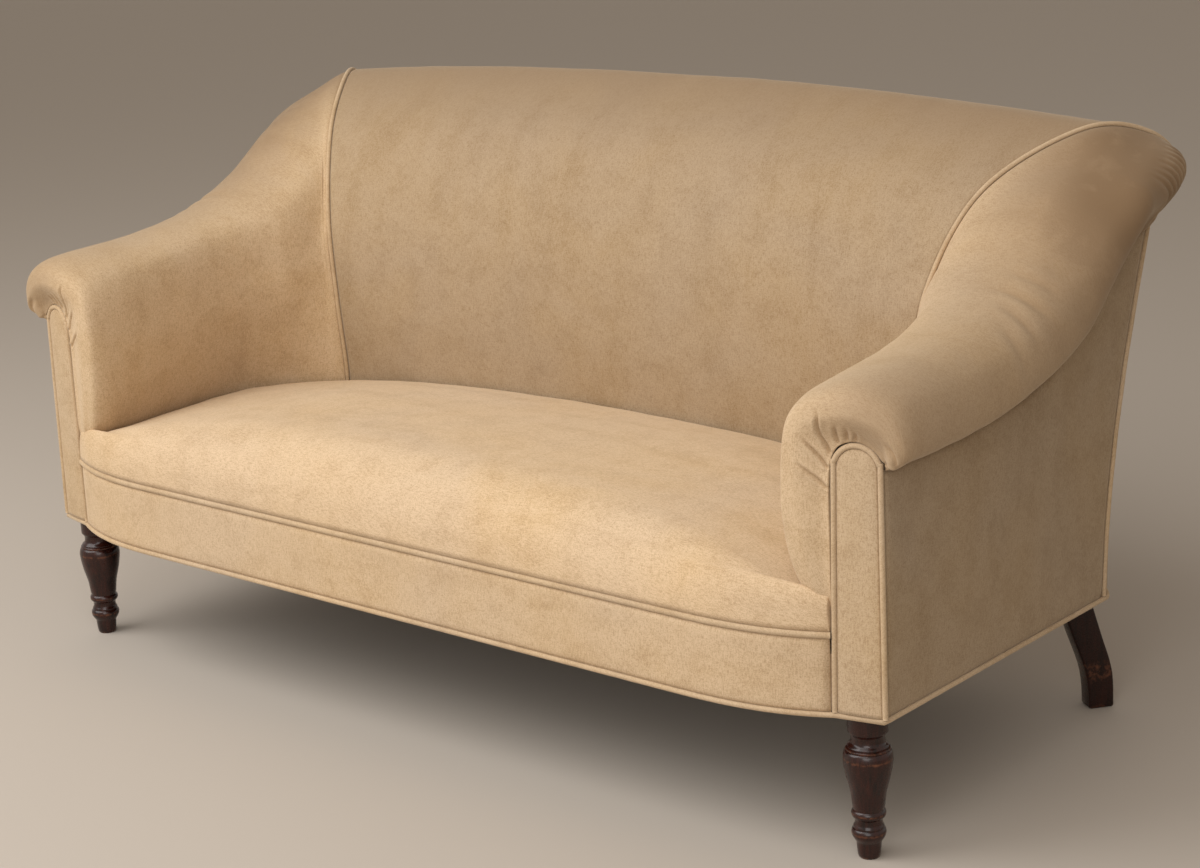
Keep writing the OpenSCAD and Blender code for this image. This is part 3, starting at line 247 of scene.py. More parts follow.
def deep(share):
    return (frontY + settee["seatDepth"] * min(share, 1) + settee["backDepth"] * min(max(share - 1, 0), 1)
            + settee["backOverhang"] * max(share - 2, 0))


def aside(share):
    return sideX - share * (settee["armThick"] if share >= 0 else settee["armOverhang"])


def raised(share, rise):
    ridge = settee["arm"] + rise * (settee["back"] - settee["arm"])
    return settee["tuck"] + share * (ridge - settee["tuck"])


def along(points, stops):                      # a smooth curve through points; stops count them
    points, stops = np.asarray(points, float), np.atleast_1d(np.asarray(stops, float))
    last = len(points) - 1
    near = np.clip(np.floor(stops).astype(int), 0, last - 1)
    t = (stops - near).reshape((-1,) + (1,) * (points.ndim - 1))
    longer = np.concatenate([[2 * points[0] - points[1]], points, [2 * points[-1] - points[-2]]])
    p0, p1, p2, p3 = (longer[near + k] for k in range(4))
    return (2 * p1 + (p2 - p0) * t + (2 * p0 - 5 * p1 + 4 * p2 - p3) * t ** 2
            + (3 * p1 - p0 - 3 * p2 + p3) * t ** 3) / 2


armNet = np.array([[(aside(a), deep(d), raised(h, rise)) for a, d, h in row]
                   for row, rise in zip(armSections, riseShares)])
seamNet = armNet[-1]
middleNet = np.array([(0, deep(d), raised(h, 1)) for d, h in backSection])
guideCount = len(backSection) - 1


def section(u):                                # 0 at the right facing, 1 at the seam, 2 in the middle
    if u <= 1:
        return along(armNet, max(u, 0) * (len(armNet) - 1))[0]
    share = 2 - u
    mix = share ** cornerCurve
    row = middleNet + (seamNet - middleNet) * mix
    row[:, 0] = seamNet[:, 0] * share
    return row


def skin(u, v):
    return along(section(u), v)


def unit(vectors):
    return vectors / (np.linalg.norm(vectors, axis=-1, keepdims=True) + 1e-12)


def lengths(path):                             # how far along the path each point is
    return np.concatenate([[0], np.cumsum(np.linalg.norm(np.diff(path, axis=0), axis=1))])


def smooth(share):
    share = np.clip(share, 0, 1)
    return share * share * (3 - 2 * share)


def seamEdge(vs, way, distance):               # beside the seam, at an even gap from its piping
    low, high = np.maximum(vs - 0.02, 0), np.minimum(vs + 0.02, guideCount)
    run = unit(skin(1, high) - skin(1, low))
    near = unit(skin(1 + 0.06 * way, vs) - skin(1, vs))
    under = smooth((vs - 5.6) / 1.2)[:, None]  # behind the roll the covers leave the seam sideways
    near = near * (1 - under) + np.array((-way, 0, 0)) * under
    beside = unit(near - run * np.sum(near * run, axis=1, keepdims=True))
    return skin(1, vs) + beside * distance, beside


def towardsSeam(vs, fromU, way, rows):          # rows from the section at fromU to the seam's piping
    start, before = skin(fromU, vs), skin(fromU + 0.02 * way, vs)
    end, beside = seamEdge(vs, way, pipingR + seamTurn["gap"])
    span = np.linalg.norm(end - start, axis=1, keepdims=True)
    lead = unit(unit(start - before) + seamTurn["leave"] * unit(end - start)) * span
    arrive = unit(-beside + seamTurn["arrive"] * unit(end - start)) * span
    cap = np.outer(smooth((vs - 5.0) / 1.1) * smooth((8 - vs) / 1.0), seamTurn["cap"])
    crest = np.outer(np.exp(-((vs - 4.8) / 0.9) ** 2), seamTurn["crest"])
    full = (cap + crest) * 6.75 * (way < 0)    # 6.75 brings the most of t * t * (1 - t) to 1
    return [start * (2 * t ** 3 - 3 * t ** 2 + 1) + lead * (t ** 3 - 2 * t ** 2 + t)
            + end * (3 * t ** 2 - 2 * t ** 3) + arrive * (t ** 3 - t ** 2) + full * t * t * (1 - t)
            for t in np.linspace(0, 1, rows + 1)[1:]]


# Meshes of cloth: a grid of points, what lies under it, and its own flat measure as a UV map
def arcs(face, axis):
    steps = np.linalg.norm(np.diff(face, axis=axis), axis=2)
    first = np.zeros_like(np.take(steps, [0], axis=axis))
    return np.concatenate([first, np.cumsum(steps, axis=axis)], axis=axis)


def gridNormals(face):
    return unit(np.cross(np.gradient(face, axis=1), np.gradient(face, axis=0)))


def edgeDistances(face):
    rows, cols = arcs(face, 0), arcs(face, 1)
    return {"start": rows, "end": rows[-1:] - rows, "low": cols, "high": cols[:, -1:] - cols}


def nearest(far, *edges):                      # how far the closest of these edges is, or of all four
    return np.minimum.reduce([far[edge] for edge in edges or far])


def rounded(far, edges):                       # padding that pulls down into a seam
    drop = np.zeros_like(far["start"])
    for name, (width, depth) in edges.items():
        share = np.clip(1 - far[name] / width, 0, 1)
        drop = np.maximum(drop, depth * (1 - np.sqrt(1 - share ** 2)))
    return -drop


def lining(face, normals, far, thinner):       # the back of a pad, which gets thinner towards these edges
    thin = np.ones(face.shape[:2])
    for edge, (least, reach) in thinner.items():
        thin = thin * np.clip(least + far[edge] / reach, 0, 1)
    return face - normals * (settee["thinnest"] + settee["stuffing"] * thin)[..., None]


def lumps(face, layers, seed):                 # each layer: how long and high its lumps are, and a shift
    total = 0
    for size, high, shift in layers:
        values = [noise.noise(Vector(point)) for point in face.reshape(-1, 3) / size + (seed + shift)]
        total = total + np.array(values).reshape(face.shape[:2]) * high
    return total


def onFace(face, us, vs):                      # reads a face's grid by its own stops (u, v)
    def surface(u, v):
        i = min(max(np.interp(u, us, np.arange(len(us))), 0), len(us) - 1.001)
        j = min(max(np.interp(v, vs, np.arange(len(vs))), 0), len(vs) - 1.001)
        a, b, p, q = int(i), int(j), i - int(i), j - int(j)
        return (face[a, b] * (1 - p) * (1 - q) + face[a + 1, b] * p * (1 - q) + face[a, b + 1] * (1 - p) * q
                + face[a + 1, b + 1] * p * q)

    return surface


foldShape = {"steps": 14, "ridge": 0.38, "ridgeFrom": 2.1, "ridgeWide": 1.2, "full": 0.003}


def creases(face, lines, surface):             # each line: stops on the surface, depth, width, ends
    lift = np.zeros(face.shape[:2])
    count, ridgeFrom, ridgeWide = foldShape["steps"], foldShape["ridgeFrom"], foldShape["ridgeWide"]
    for stops, depth, width, (fadeIn, fadeOut) in lines:
        stops = np.array(stops, float)
        knots = along(stops, np.linspace(0, len(stops) - 1, count)) if len(stops) > 2 else \
            stops[0] + (stops[1] - stops[0]) * np.linspace(0, 1, count)[:, None]
        path = np.array([surface(u, v) for u, v in knots])
        reach = np.linalg.norm(face - path.mean(0), axis=2) \
            < np.linalg.norm(path - path.mean(0), axis=1).max() + 5 * width
        spots = face[reach]
        best, share = np.full(len(spots), 9.0), np.zeros(len(spots))
        for k in range(count - 1):
            line = path[k + 1] - path[k]
            t = np.clip((spots - path[k]) @ line / (line @ line), 0, 1)
            far = np.linalg.norm(spots - path[k] - t[:, None] * line, axis=1)
            closer = far < best
            best[closer], share[closer] = far[closer], ((k + t) / (count - 1))[closer]
        fade = smooth(np.clip(share / fadeIn, 0, 1) * np.clip((1 - share) / fadeOut, 0, 1))
        ridge = np.exp(-((best - ridgeFrom * width) / (ridgeWide * width)) ** 2)
        lift[reach] -= depth * fade * (np.exp(-(best / width) ** 2) - foldShape["ridge"] * ridge)
    return lift


def addMesh(name, points, faces, material, uv, attributes, smooth=True):
    mesh = bpy.data.meshes.new(name)
    mesh.from_pydata([tuple(p) for p in points], [], faces)
    corners = np.zeros(len(mesh.loops), int)
    mesh.loops.foreach_get("vertex_index", corners)
    mesh.uv_layers.new(name="cloth").data.foreach_set("uv", np.asarray(uv)[corners].ravel())
    for key, values in attributes.items():
        mesh.attributes.new(key, "FLOAT", "POINT").data.foreach_set(
            "value", np.asarray(values, float).ravel())
    mesh.materials.append(material)
    mesh.polygons.foreach_set("use_smooth", [smooth] * len(mesh.polygons))
    mesh.update()
    obj = bpy.data.objects.new(name, mesh)
    bpy.context.collection.objects.link(obj)
    return obj


def gridFaces(rows, cols, start=0, turned=False):
    i, j = np.meshgrid(np.arange(rows - 1), np.arange(cols - 1), indexing="ij")
    a = (start + i * cols + j).ravel()
    quads = np.stack([a, a + cols, a + cols + 1, a + 1], 1)
    return (quads[:, ::-1] if turned else quads).tolist()


def slab(name, face, under, material, lift=0.0, seam=1.0, soil=0.0):   # a face, its underside and its edges
    rows, cols = face.shape[:2]
    size = rows * cols
    faces = gridFaces(rows, cols, 0, True) + gridFaces(rows, cols, size)
    for i in range(rows - 1):
        a, b = i * cols, (i + 1) * cols
        faces += [[a, b, b + size, a + size],
                  [b + cols - 1, a + cols - 1, a + cols - 1 + size, b + cols - 1 + size]]
    for j in range(cols - 1):
        a, b = j, (rows - 1) * cols + j
        faces += [[a + 1, a, a + size, a + 1 + size], [b, b + 1, b + 1 + size, b + size]]
    rowArc, colArc = arcs(face, 0), arcs(face, 1)
    middle = rows // 2
    uv = np.stack([rowArc - rowArc[middle:middle + 1], colArc], 2).reshape(-1, 2)
    double = {key: np.concatenate([np.broadcast_to(values, (rows, cols)).ravel()] * 2)
              for key, values in (("fold", lift / foldShape["full"]), ("seam", seam), ("soil", soil))}
    return addMesh(name, np.concatenate([face.reshape(-1, 3), under.reshape(-1, 3)]), faces, material,
                   np.concatenate([uv, uv]), double)


# the last entry paints the piping a little paler, a painted highlight as on a ridge
cord = {"sides": 12, "step": 0.004, "lumpsPerMetre": 45, "fold": 0.25}


def tube(name, path, radius, material, side=(0, 0, 1), closed=False, lumpy=0.0, seed=0.0):
    path, sides, count = np.asarray(path, float), cord["sides"], len(path)
    ahead, behind = np.roll(path, -1, 0), np.roll(path, 1, 0)
    if not closed:
        ahead[-1], behind[0] = path[-1], path[0]
    run = unit(ahead - behind)
    side = np.asarray(side, float)
    across = unit(side - run * (run @ side)[:, None])
    up = np.cross(run, across)
    length = lengths(path)
    swell = np.array([1 + lumpy * noise.noise(Vector((s * cord["lumpsPerMetre"], seed, 0))) for s in length])
    points, uv = [], []
    for k in range(sides):
        angle = 2 * math.pi * k / sides
        points.append(path + (radius * swell)[:, None] * (math.cos(angle) * across + math.sin(angle) * up))
        uv.append(np.stack([length, np.full(count, 2 * math.pi * radius * k / sides)], 1))
    faces = []
    for i in range(count if closed else count - 1):
        a, b = i * sides, ((i + 1) % count) * sides
        faces += [[a + (k + 1) % sides, b + (k + 1) % sides, b + k, a + k] for k in range(sides)]
    if not closed:
        faces += [list(range(sides)), [(count - 1) * sides + k for k in range(sides)][::-1]]
    zeros = np.zeros(count * sides)
    return addMesh(name, np.stack(points, 1).reshape(-1, 3), faces, material, np.stack(uv, 1).reshape(-1, 2),
                   {"fold": zeros + cord["fold"], "seam": zeros + 1, "soil": zeros})


def mirrored(name, obj):
    copy = obj.copy()
    copy.data = obj.data.copy()
    copy.name = copy.data.name = name
    bpy.context.collection.objects.link(copy)
    copy.data.transform(Matrix.Scale(-1, 4, (1, 0, 0)))
    copy.data.flip_normals()
    return copy


def evenly(path, step):                        # a polyline at even steps, smoothed through its points
    path = np.asarray(path, float)
    dense = along(path, np.linspace(0, len(path) - 1, 40 * len(path)))
    length = lengths(dense)
    stops = np.linspace(0, length[-1], max(3, int(length[-1] / step) + 1))
    return np.stack([np.interp(stops, length, dense[:, k]) for k in range(3)], 1)


def settled(obj, slot, *nodes, fill=None):
    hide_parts(*nodes)
    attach(obj, "root")


def bothSides(right, slot, *nodes, fill=None, left=None):   # the left mirrors the right, or its own draft
    pieces = {"_right": right, "_left": mirrored(right.name.replace("Right", "Left"), left or right)}
    if left:
        bpy.data.objects.remove(left)
    for side, obj in pieces.items():
        settled(obj, slot, *(node + side for node in nodes), fill=fill)


def facesOut(obj, doubles=None):               # closes the doubles where asked, and turns the faces outwards
    bpy.context.view_layer.objects.active = obj
    obj.select_set(True)
    bpy.ops.object.mode_set(mode="EDIT")
    bpy.ops.mesh.select_all(action="SELECT")
    if doubles:
        bpy.ops.mesh.remove_doubles(threshold=doubles)
    bpy.ops.mesh.normals_make_consistent(inside=False)
    bpy.ops.object.mode_set(mode="OBJECT")


seatVelvet = clothFinish("seatVelvet", 1.06)   # each piece's colour is scaled by its tone, the seat paler and the back and outside covers darker: painted light and shade for how the light falls on each
backVelvet = clothFinish("backVelvet", 0.68)
armVelvet = clothFinish("armVelvet", 0.99)
outsideVelvet = clothFinish("outsideVelvet", 0.62)
borderVelvet = clothFinish("borderVelvet", 0.99, brush=cloth["brush"][::-1])
facingVelvet = clothFinish("facingVelvet", 0.88)
pipingCloth = clothFinish("pipingVelvet", 0.9, 0.8, True)
print("cloth ready")


# Arms: from the tuck beside the seat, over the roll and down to the outside cover
armPad = {"rows": 166, "columns": ((0, 24), (2.4, 150), (5.4, 50)), "frontLip": (0.014, 0.0028),
          "seamFrom": 0.86, "seamRows": 58, "lumps": ((0.11, 0.0014, 0), (0.035, 0.0006, 5)),
          "calmEdge": 0.04, "closer": {"start": (0.06, 0.05), "end": (0.05, 0.08), "pleats": (0.24, 0.13)},
          "soil": {"right": 0.55, "left": 0.6, "rear": 0.5, "over": (3.4, 2.2), "rearFrom": (0.45, 0.4)},
          "rounding": {"end": (0.007, 0.0012), "high": (0.007, 0.002)},   # how far in, how deep
          "thinner": {"start": (0.3, 0.12), "low": (0.35, 0.09), "high": (0.2, 0.09)}}   # least, how far in
pleats = [                                     # stops in (u, v), depth, width, fade at each end
    ([(0.002, 2.75), (0.045, 2.96), (0.107, 3.22)], 0.0036, 0.0021, (0.1, 0.4)),
    ([(0.002, 3.15), (0.042, 3.5), (0.1, 3.83)], 0.0044, 0.0022, (0.1, 0.45)),
    ([(0.002, 3.65), (0.04, 4.02), (0.108, 4.42), (0.165, 4.45)], 0.0044, 0.0023, (0.1, 0.5)),
    ([(0.002, 4.22), (0.045, 4.5), (0.09, 4.76)], 0.0036, 0.0024, (0.1, 0.6)),
    ([(0.002, 4.6), (0.04, 4.8), (0.08, 4.93)], 0.0028, 0.0024, (0.1, 0.7)),
    ([(0.002, 4.95), (0.03, 5.07), (0.06, 5.12)], 0.0022, 0.0024, (0.1, 0.7)),
    ([(0.004, 6.9), (0.02, 6.55), (0.05, 6.3)], 0.0022, 0.0046, (0.15, 0.8))]
bendCreases = [
    ([(0.60, 4.7), (0.585, 5.3), (0.59, 6.0)], 0.0018, 0.0060, (0.5, 0.4)),
    ([(0.555, 4.6), (0.54, 5.4), (0.545, 6.3)], 0.0024, 0.0065, (0.5, 0.4)),
    ([(0.515, 4.9), (0.50, 5.6), (0.495, 6.5)], 0.0020, 0.0060, (0.5, 0.4)),
    ([(0.47, 5.3), (0.455, 5.9), (0.45, 6.8)], 0.0013, 0.0070, (0.5, 0.4))]
frontLobe = [
    ([(0.028, 6.2), (0.034, 6.8), (0.03, 7.4)], -0.0022, 0.013, (0.35, 0.35)),
    ([(0.082, 6.1), (0.088, 6.7), (0.08, 7.5)], 0.0028, 0.0036, (0.4, 0.3))]
cornerGathers = [
    ([(0.885 + 0.013 * k, 6.1 + 0.05 * (k % 3)), (0.905 + 0.0105 * k, 6.9), (0.945 + 0.005 * k, 7.85)],
     0.0028 + 0.0006 * (k % 2), 0.0032, (0.5, 0.1)) for k in range(9)] + [
    ([(0.79 + 0.022 * k, 6.95), (0.795 + 0.022 * k, 7.75)], 0.0012, 0.0024, (0.5, 0.2)) for k in range(3)]


def armRows():                                 # closer at both ends, and where the pleats are
    dense = np.linspace(0, armPad["seamFrom"], 240)
    grid = np.array([skin(u, np.linspace(0, guideCount, 17)) for u in dense])
    length = np.concatenate([[0], np.cumsum(np.linalg.norm(np.diff(grid, axis=0), axis=2).mean(1))])
    (start, startRun), (end, endRun), (pleated, pleatRun) = armPad["closer"].values()
    weight = length + start * (1 - np.exp(-length / startRun)) \
        + end * np.exp((length - length[-1]) / endRun) + pleated * np.minimum(length / pleatRun, 1)
    return np.interp(np.linspace(weight[0], weight[-1], armPad["rows"]), weight, dense)


def armPiece(name, lines, seed, side):
    spans = zip(armPad["columns"], [start for start, _ in armPad["columns"][1:]] + [guideCount])
    vs = np.concatenate([[0]] + [np.linspace(start, end, count)[1:] for (start, count), end in spans])
    us = np.concatenate([armRows(), np.linspace(armPad["seamFrom"], 1, armPad["seamRows"] + 1)[1:]])
    face = np.array([skin(u, vs) for u in us[:armPad["rows"]]]
                    + towardsSeam(vs, armPad["seamFrom"], -1, armPad["seamRows"]))
    normals = gridNormals(face)
    far = edgeDistances(face)
    lift = creases(face, lines, onFace(face, us, vs))
    bumps = lumps(face, armPad["lumps"], seed) \
        * np.clip(nearest(far, "start", "end") / armPad["calmEdge"], 0, 1)
    shown = face + normals * (rounded(far, armPad["rounding"]) + lift + bumps)[..., None]
    wide, forward = armPad["frontLip"]
    shown[..., 1] -= forward * np.clip(1 - far["start"] / wide, 0, 1) ** 2
    wearAndShade = armPad["soil"]                      # painted shade: it rises over the roll, and more towards the rear
    (over, overRun), (rear, rearRun) = wearAndShade["over"], wearAndShade["rearFrom"]
    soil = smooth((vs - over) / overRun)[None, :] \
        * (wearAndShade[side] + wearAndShade["rear"] * smooth((us - rear) / rearRun))[:, None]
    return slab(name, shown, lining(face, normals, far, armPad["thinner"]), armVelvet, lift,
                nearest(far, "start", "end", "high"), soil)


rightArm = armPiece("insideArmRight", pleats + bendCreases + frontLobe + cornerGathers, 3.0, "right")
leftDraft = armPiece("insideArmLeftDraft", pleats + bendCreases[1:] + frontLobe + cornerGathers, 8.0, "left")
bothSides(rightArm, "upholstery", "inside_arm_cover", "arm_stuffing", fill=0.9, left=leftDraft)
print("arms made")


# Inside back, from one corner seam to the other and over the roll
backPad = {"columns": 170, "rows": 96, "seamFrom": 1.09, "seamRows": 14,
           "lumps": ((0.19, 0.0018, 0), (0.05, 0.0006, 10)), "calmEdge": 0.05, "soil": (0.8, 3.2, 2.4),
           "rounding": {"start": (0.007, 0.0012), "end": (0.007, 0.0012), "high": (0.007, 0.002)},
           "thinner": {"low": (0.35, 0.09), "high": (0.2, 0.09)}}


def backPiece():
    vs = np.linspace(0, guideCount, backPad["columns"])
    fromSeam = towardsSeam(vs, backPad["seamFrom"], 1, backPad["seamRows"])[::-1]
    half = fromSeam + [skin(u, vs) for u in
                       np.linspace(backPad["seamFrom"], 2, backPad["rows"] - backPad["seamRows"])]
    face = np.array(half + [row * (-1, 1, 1) for row in half[-2::-1]])
    normals = gridNormals(face)
    far = edgeDistances(face)
    bumps = lumps(face, backPad["lumps"], 21.0) \
        * np.clip(nearest(far, "start", "end") / backPad["calmEdge"], 0, 1)
    shown = face + normals * (rounded(far, backPad["rounding"]) + bumps)[..., None]
    most, over, overRun = backPad["soil"]      # painted shade: it rises over the roll
    return slab("insideBack", shown, lining(face, normals, far, backPad["thinner"]), backVelvet, 0.0,
                nearest(far, "start", "end", "high"), most * smooth((vs - over) / overRun)[None, :])


settled(backPiece(), "upholstery", "inside_back_cover", "back_stuffing", fill=0.9)
print("back made")


# Seat: a sprung pad with a rounded front edge
seatPad = {"across": 200, "spread": 0.93, "deep": 96, "noseRows": 34, "noseShare": 0.22, "nosePower": 2.3,
           "crownPower": 3.2, "drawIn": 0.008, "cornerNose": 0.8, "sideGap": 0.0022, "tuckGap": 0.0012,
           "rearGap": 0.004, "cornerRise": 0.006, "rearFall": 0.6, "cornerTuck": 0.005,
           "foot": (0.9955, 0.988), "drawFull": 0.16,
           "drawFade": (0.85, 0.5, 0.3),       # the sides are drawn in less towards the rear
           "lumps": ((0.16, 0.0024, 0), (0.045, 0.0007, 10)), "calmEdge": 0.07}
bowPower = 2.7
coverShares = (0, 0.06, 0.125, 0.185, 0.25, 0.34, 0.44, 0.54, 0.63, 0.71, 0.79, 0.86, 0.93, 1)
tuckLine = np.array([skin(u, 0)[0] for u in coverShares])
cornerY = frontY + settee["facingIn"]
meetLine = np.array([(innerX - weltR, cornerY, 0), (innerX - weltR, cornerY + 0.016, 0)]
                    + [skin(u, 1)[0] for u in coverShares[4:]])
seatFront = settee["welt"] + weltR + gap
seatFloor = settee["tuck"] + gap


def bowY(x):
    share = np.maximum(0, np.abs(x) - settee["straightHalf"]) / (innerX - settee["straightHalf"])
    return frontY + settee["facingIn"] * share ** bowPower


def tuckY(x):                                  # where the back cover meets the seat
    corner = np.minimum(1, np.abs(x) / seamNet[0][0]) ** cornerCurve
    return middleNet[0][1] + (seamNet[0][1] - middleNet[0][1]) * corner


def spread(count, share):                      # from -1 to 1, closer towards both ends
    return np.sin(np.linspace(-1, 1, count) * math.pi / 2 * share) / math.sin(math.pi / 2 * share)


def seatHeights(s, t):
    crown = (settee["crown"] - settee["seatSide"]) * (1 - np.abs(s) ** seatPad["crownPower"])
    high = settee["seatSide"] + seatPad["cornerRise"] * t * t + crown * (1 - seatPad["rearFall"] * t ** 3) \
        - seatPad["cornerTuck"] * np.abs(s) ** 12 * np.exp(-t / 0.05)
    front = settee["seatSide"] + crown
    nose = seatPad["noseShare"] * (front - seatFront) / (settee["crown"] - seatFront) \
        * (1 - seatPad["cornerNose"] * np.abs(s) ** 9)
    bend = (1 - (1 - np.minimum(1, t / nose)) ** seatPad["nosePower"]) ** (1 / seatPad["nosePower"])
    return seatFront + (high - seatFront) * bend


def seatPiece():
    nose, noseRows, cornerRearY = seatPad["noseShare"], seatPad["noseRows"], seamNet[0][1]
    depths = np.concatenate([nose * (1 - np.cos(np.linspace(0, math.pi / 2, noseRows))),
                             np.linspace(nose, 1, seatPad["deep"] - noseRows + 1)[1:]])
    middle = spread(seatPad["across"], seatPad["spread"])
    angles = np.linspace(0, math.pi / 2, 9)[:-1]
    fade, fadeFrom, fadeRun = seatPad["drawFade"]

    def row(t, back, drop):                    # drop: 1 on top, to 0 at the foot of the rear edge
        y = cornerY + (cornerRearY - cornerY) * t
        top = np.interp(y, meetLine[:, 1], meetLine[:, 0]) - seatPad["sideGap"]
        foot = np.interp(y, tuckLine[:, 1], tuckLine[:, 0]) - seatPad["tuckGap"]
        low = foot + (top - foot) * drop
        drawn = seatPad["drawIn"] * min(1, t / seatPad["drawFull"]) \
            * (1 - fade * smooth((t - fadeFrom) / fadeRun))
        side = [(foot + (low - foot) * math.sin(a) - drawn * (1 - math.cos(a)), math.sin(a)) for a in angles]
        edge = low - drawn
        xs = np.concatenate([[-x for x, _ in side], middle * edge, [x for x, _ in side[::-1]]])
        share = np.concatenate([[up for _, up in side], np.ones(len(middle)), [up for _, up in side[::-1]]])
        ss = np.concatenate([-np.ones(len(side)), middle, np.ones(len(side))])
        ys = bowY(xs) + (tuckY(xs) - back - bowY(xs)) * t
        zs = seatFront + (seatHeights(ss, t) - seatFront) * share * drop
        return np.stack([xs, ys, zs], 1)

    rows = [row(t, seatPad["rearGap"] + seatPad["drawIn"], 1) for t in depths]
    for a in angles[::-1]:
        rows.append(row(1, seatPad["rearGap"] * math.sin(a) + seatPad["drawIn"] * (1 - math.cos(a)),
                        math.sin(a)))
    face = np.array(rows)
    normals = gridNormals(face)
    far = edgeDistances(face)
    bumps = lumps(face, seatPad["lumps"], 41.0) * np.clip(nearest(far) / seatPad["calmEdge"], 0, 1)
    under = face.copy()                        # the foot of the pad, a little smaller and flat
    yMiddle = (frontY + cornerRearY) / 2
    under[..., 0] *= seatPad["foot"][0]
    under[..., 1] = yMiddle + (under[..., 1] - yMiddle) * seatPad["foot"][1]
    under[..., 2] = seatFloor
    for edgeRow in (under[0], under[-1], under[:, 0], under[:, -1]):
        edgeRow[:, 2] = seatFront
    return slab("seat", face + normals * bumps[..., None], under, seatVelvet, 0.0,
                np.minimum(far["start"], 1))


settled(seatPiece(), "upholstery", "seat_cover", "seat_stuffing", fill=0.95)
print("seat made")


# Flat panels: outside arms, outside back and front border
panelPad = {"rounding": (0.008, 0.0018), "lumps": ((0.12, 0.0009, 0),), "calmEdge": 0.04, "spread": 0.9}
outsideSeamHigh = seamNet[-1][2]
backPoints = np.array([(deep(1 + a), settee["base"] + (outsideSeamHigh - settee["base"]) * b)
                       for a, b in backLine])
seamDrop = 0.0012                              # the panels close up under the rolls, as if slip-stitched
panelTop = outsideSeamHigh - seamDrop
rearWeltWide = 1.8 * pipingR
rearEdgeX = sideX - rearWeltWide - gap


def backLineY(z):
    return np.interp(z, backPoints[:, 1], backPoints[:, 0])


def rearY(x, z):
    share = np.clip((np.abs(x) - (sideX - rearCorner["width"])) / rearCorner["width"], 0, 1)
    corner = (1 - share ** rearCorner["power"]) ** (1 / rearCorner["power"])
    return backLineY(z) + corner * np.interp(z, backPoints[:, 1], np.array(rearBow) * settee["backDepth"])


def panel(name, face, material, seed):
    normals = gridNormals(face)
    far = edgeDistances(face)
    seam = nearest(far)
    bumps = lumps(face, panelPad["lumps"], seed) * np.clip(seam / panelPad["calmEdge"], 0, 1)
    drop = rounded(far, {edge: panelPad["rounding"] for edge in far})
    return slab(name, face + normals * (drop + bumps)[..., None], face - normals * settee["panel"],
                material, 0.0, seam)


def outsideArmFace():
    seamPoints = np.array([skin(u, guideCount)[0] for u in np.linspace(0.125, 1, 60)])
    frontEdge = frontY + settee["facingOut"] + 1.5 * pipingR + 2 * gap
    shares, tall = np.linspace(0, 1, 60), np.linspace(0, 1, 44)
    face = np.zeros((len(shares), len(tall), 3))
    for i, a in enumerate(shares):
        for j, b in enumerate(tall):
            z = coverBottom + b * 0.3
            for _ in range(12):                # until the seam's height and the back line agree
                y = frontEdge + a * (backLineY(z) - (rearWeltWide + gap) - frontEdge)
                z = coverBottom + b * (np.interp(y, seamPoints[:, 1], seamPoints[:, 2])
                                       - seamDrop - coverBottom)
            face[i, j] = (sideX, y, z)
    return face[:, ::-1]


rightPanel = panel("outsideArmRight", outsideArmFace(), outsideVelvet, 61.0)
bothSides(rightPanel, "upholstery", "outside_arm_cover", fill=0.6)

rearUp = np.linspace(coverBottom, panelTop, 60)
rearFace = np.array([[(x, rearY(x, z), z) for z in rearUp]
                     for x in spread(120, panelPad["spread"]) * rearEdgeX])
settled(panel("outsideBack", rearFace, outsideVelvet, 71.0), "upholstery", "outside_back_cover", fill=0.6)

borderEnd = innerX - pipingR - gap
borderUp = np.linspace(coverBottom, settee["welt"] - weltR - gap, 20)
borderFace = np.array([[(x, bowY(x), z) for z in borderUp] for x in np.linspace(borderEnd, -borderEnd, 150)])
settled(panel("frontBorder", borderFace[::-1, ::-1], borderVelvet, 81.0), "upholstery", "front_border",
        fill=0.6)
print("panels made")


# Arm facings: an arched board, padded a little, turned outwards
facingPad = {"dome": 0.0022, "edge": 0.0008, "inset": pipingR + gap, "taper": 0.003, "rings": 12,
             "doubles": 0.00002}
facingLong = math.hypot(settee["facingWidth"], settee["facingOut"] - settee["facingIn"])
facingTurn = math.atan2(settee["facingOut"] - settee["facingIn"], settee["facingWidth"])
archR = facingLong / 2 - facingPad["taper"]
facingLow = frameBottom + gap


def atFacing(points):                          # points: along the facing, behind it, height
    points = np.asarray(points, float)
    turn = np.array(((math.cos(facingTurn), math.sin(facingTurn)),
                     (-math.sin(facingTurn), math.cos(facingTurn))))
    moved = points.copy()
    moved[..., :2] = points[..., :2] @ turn + (innerX, frontY + settee["facingIn"])
    return moved


def facingOutline(inset):
    low, spring, middle = facingLow, settee["facingSpring"], facingLong / 2
    left = [(inset + facingPad["taper"] * t, low + (spring - low) * t) for t in np.linspace(0, 1, 60)]
    arch = [(middle - (archR - inset) * math.cos(a), spring + (archR - inset) * math.sin(a))
            for a in np.linspace(0, math.pi, 33)[1:-1]]
    right = [(facingLong - x, z) for x, z in left[::-1]]
    return np.array(left + arch + right)


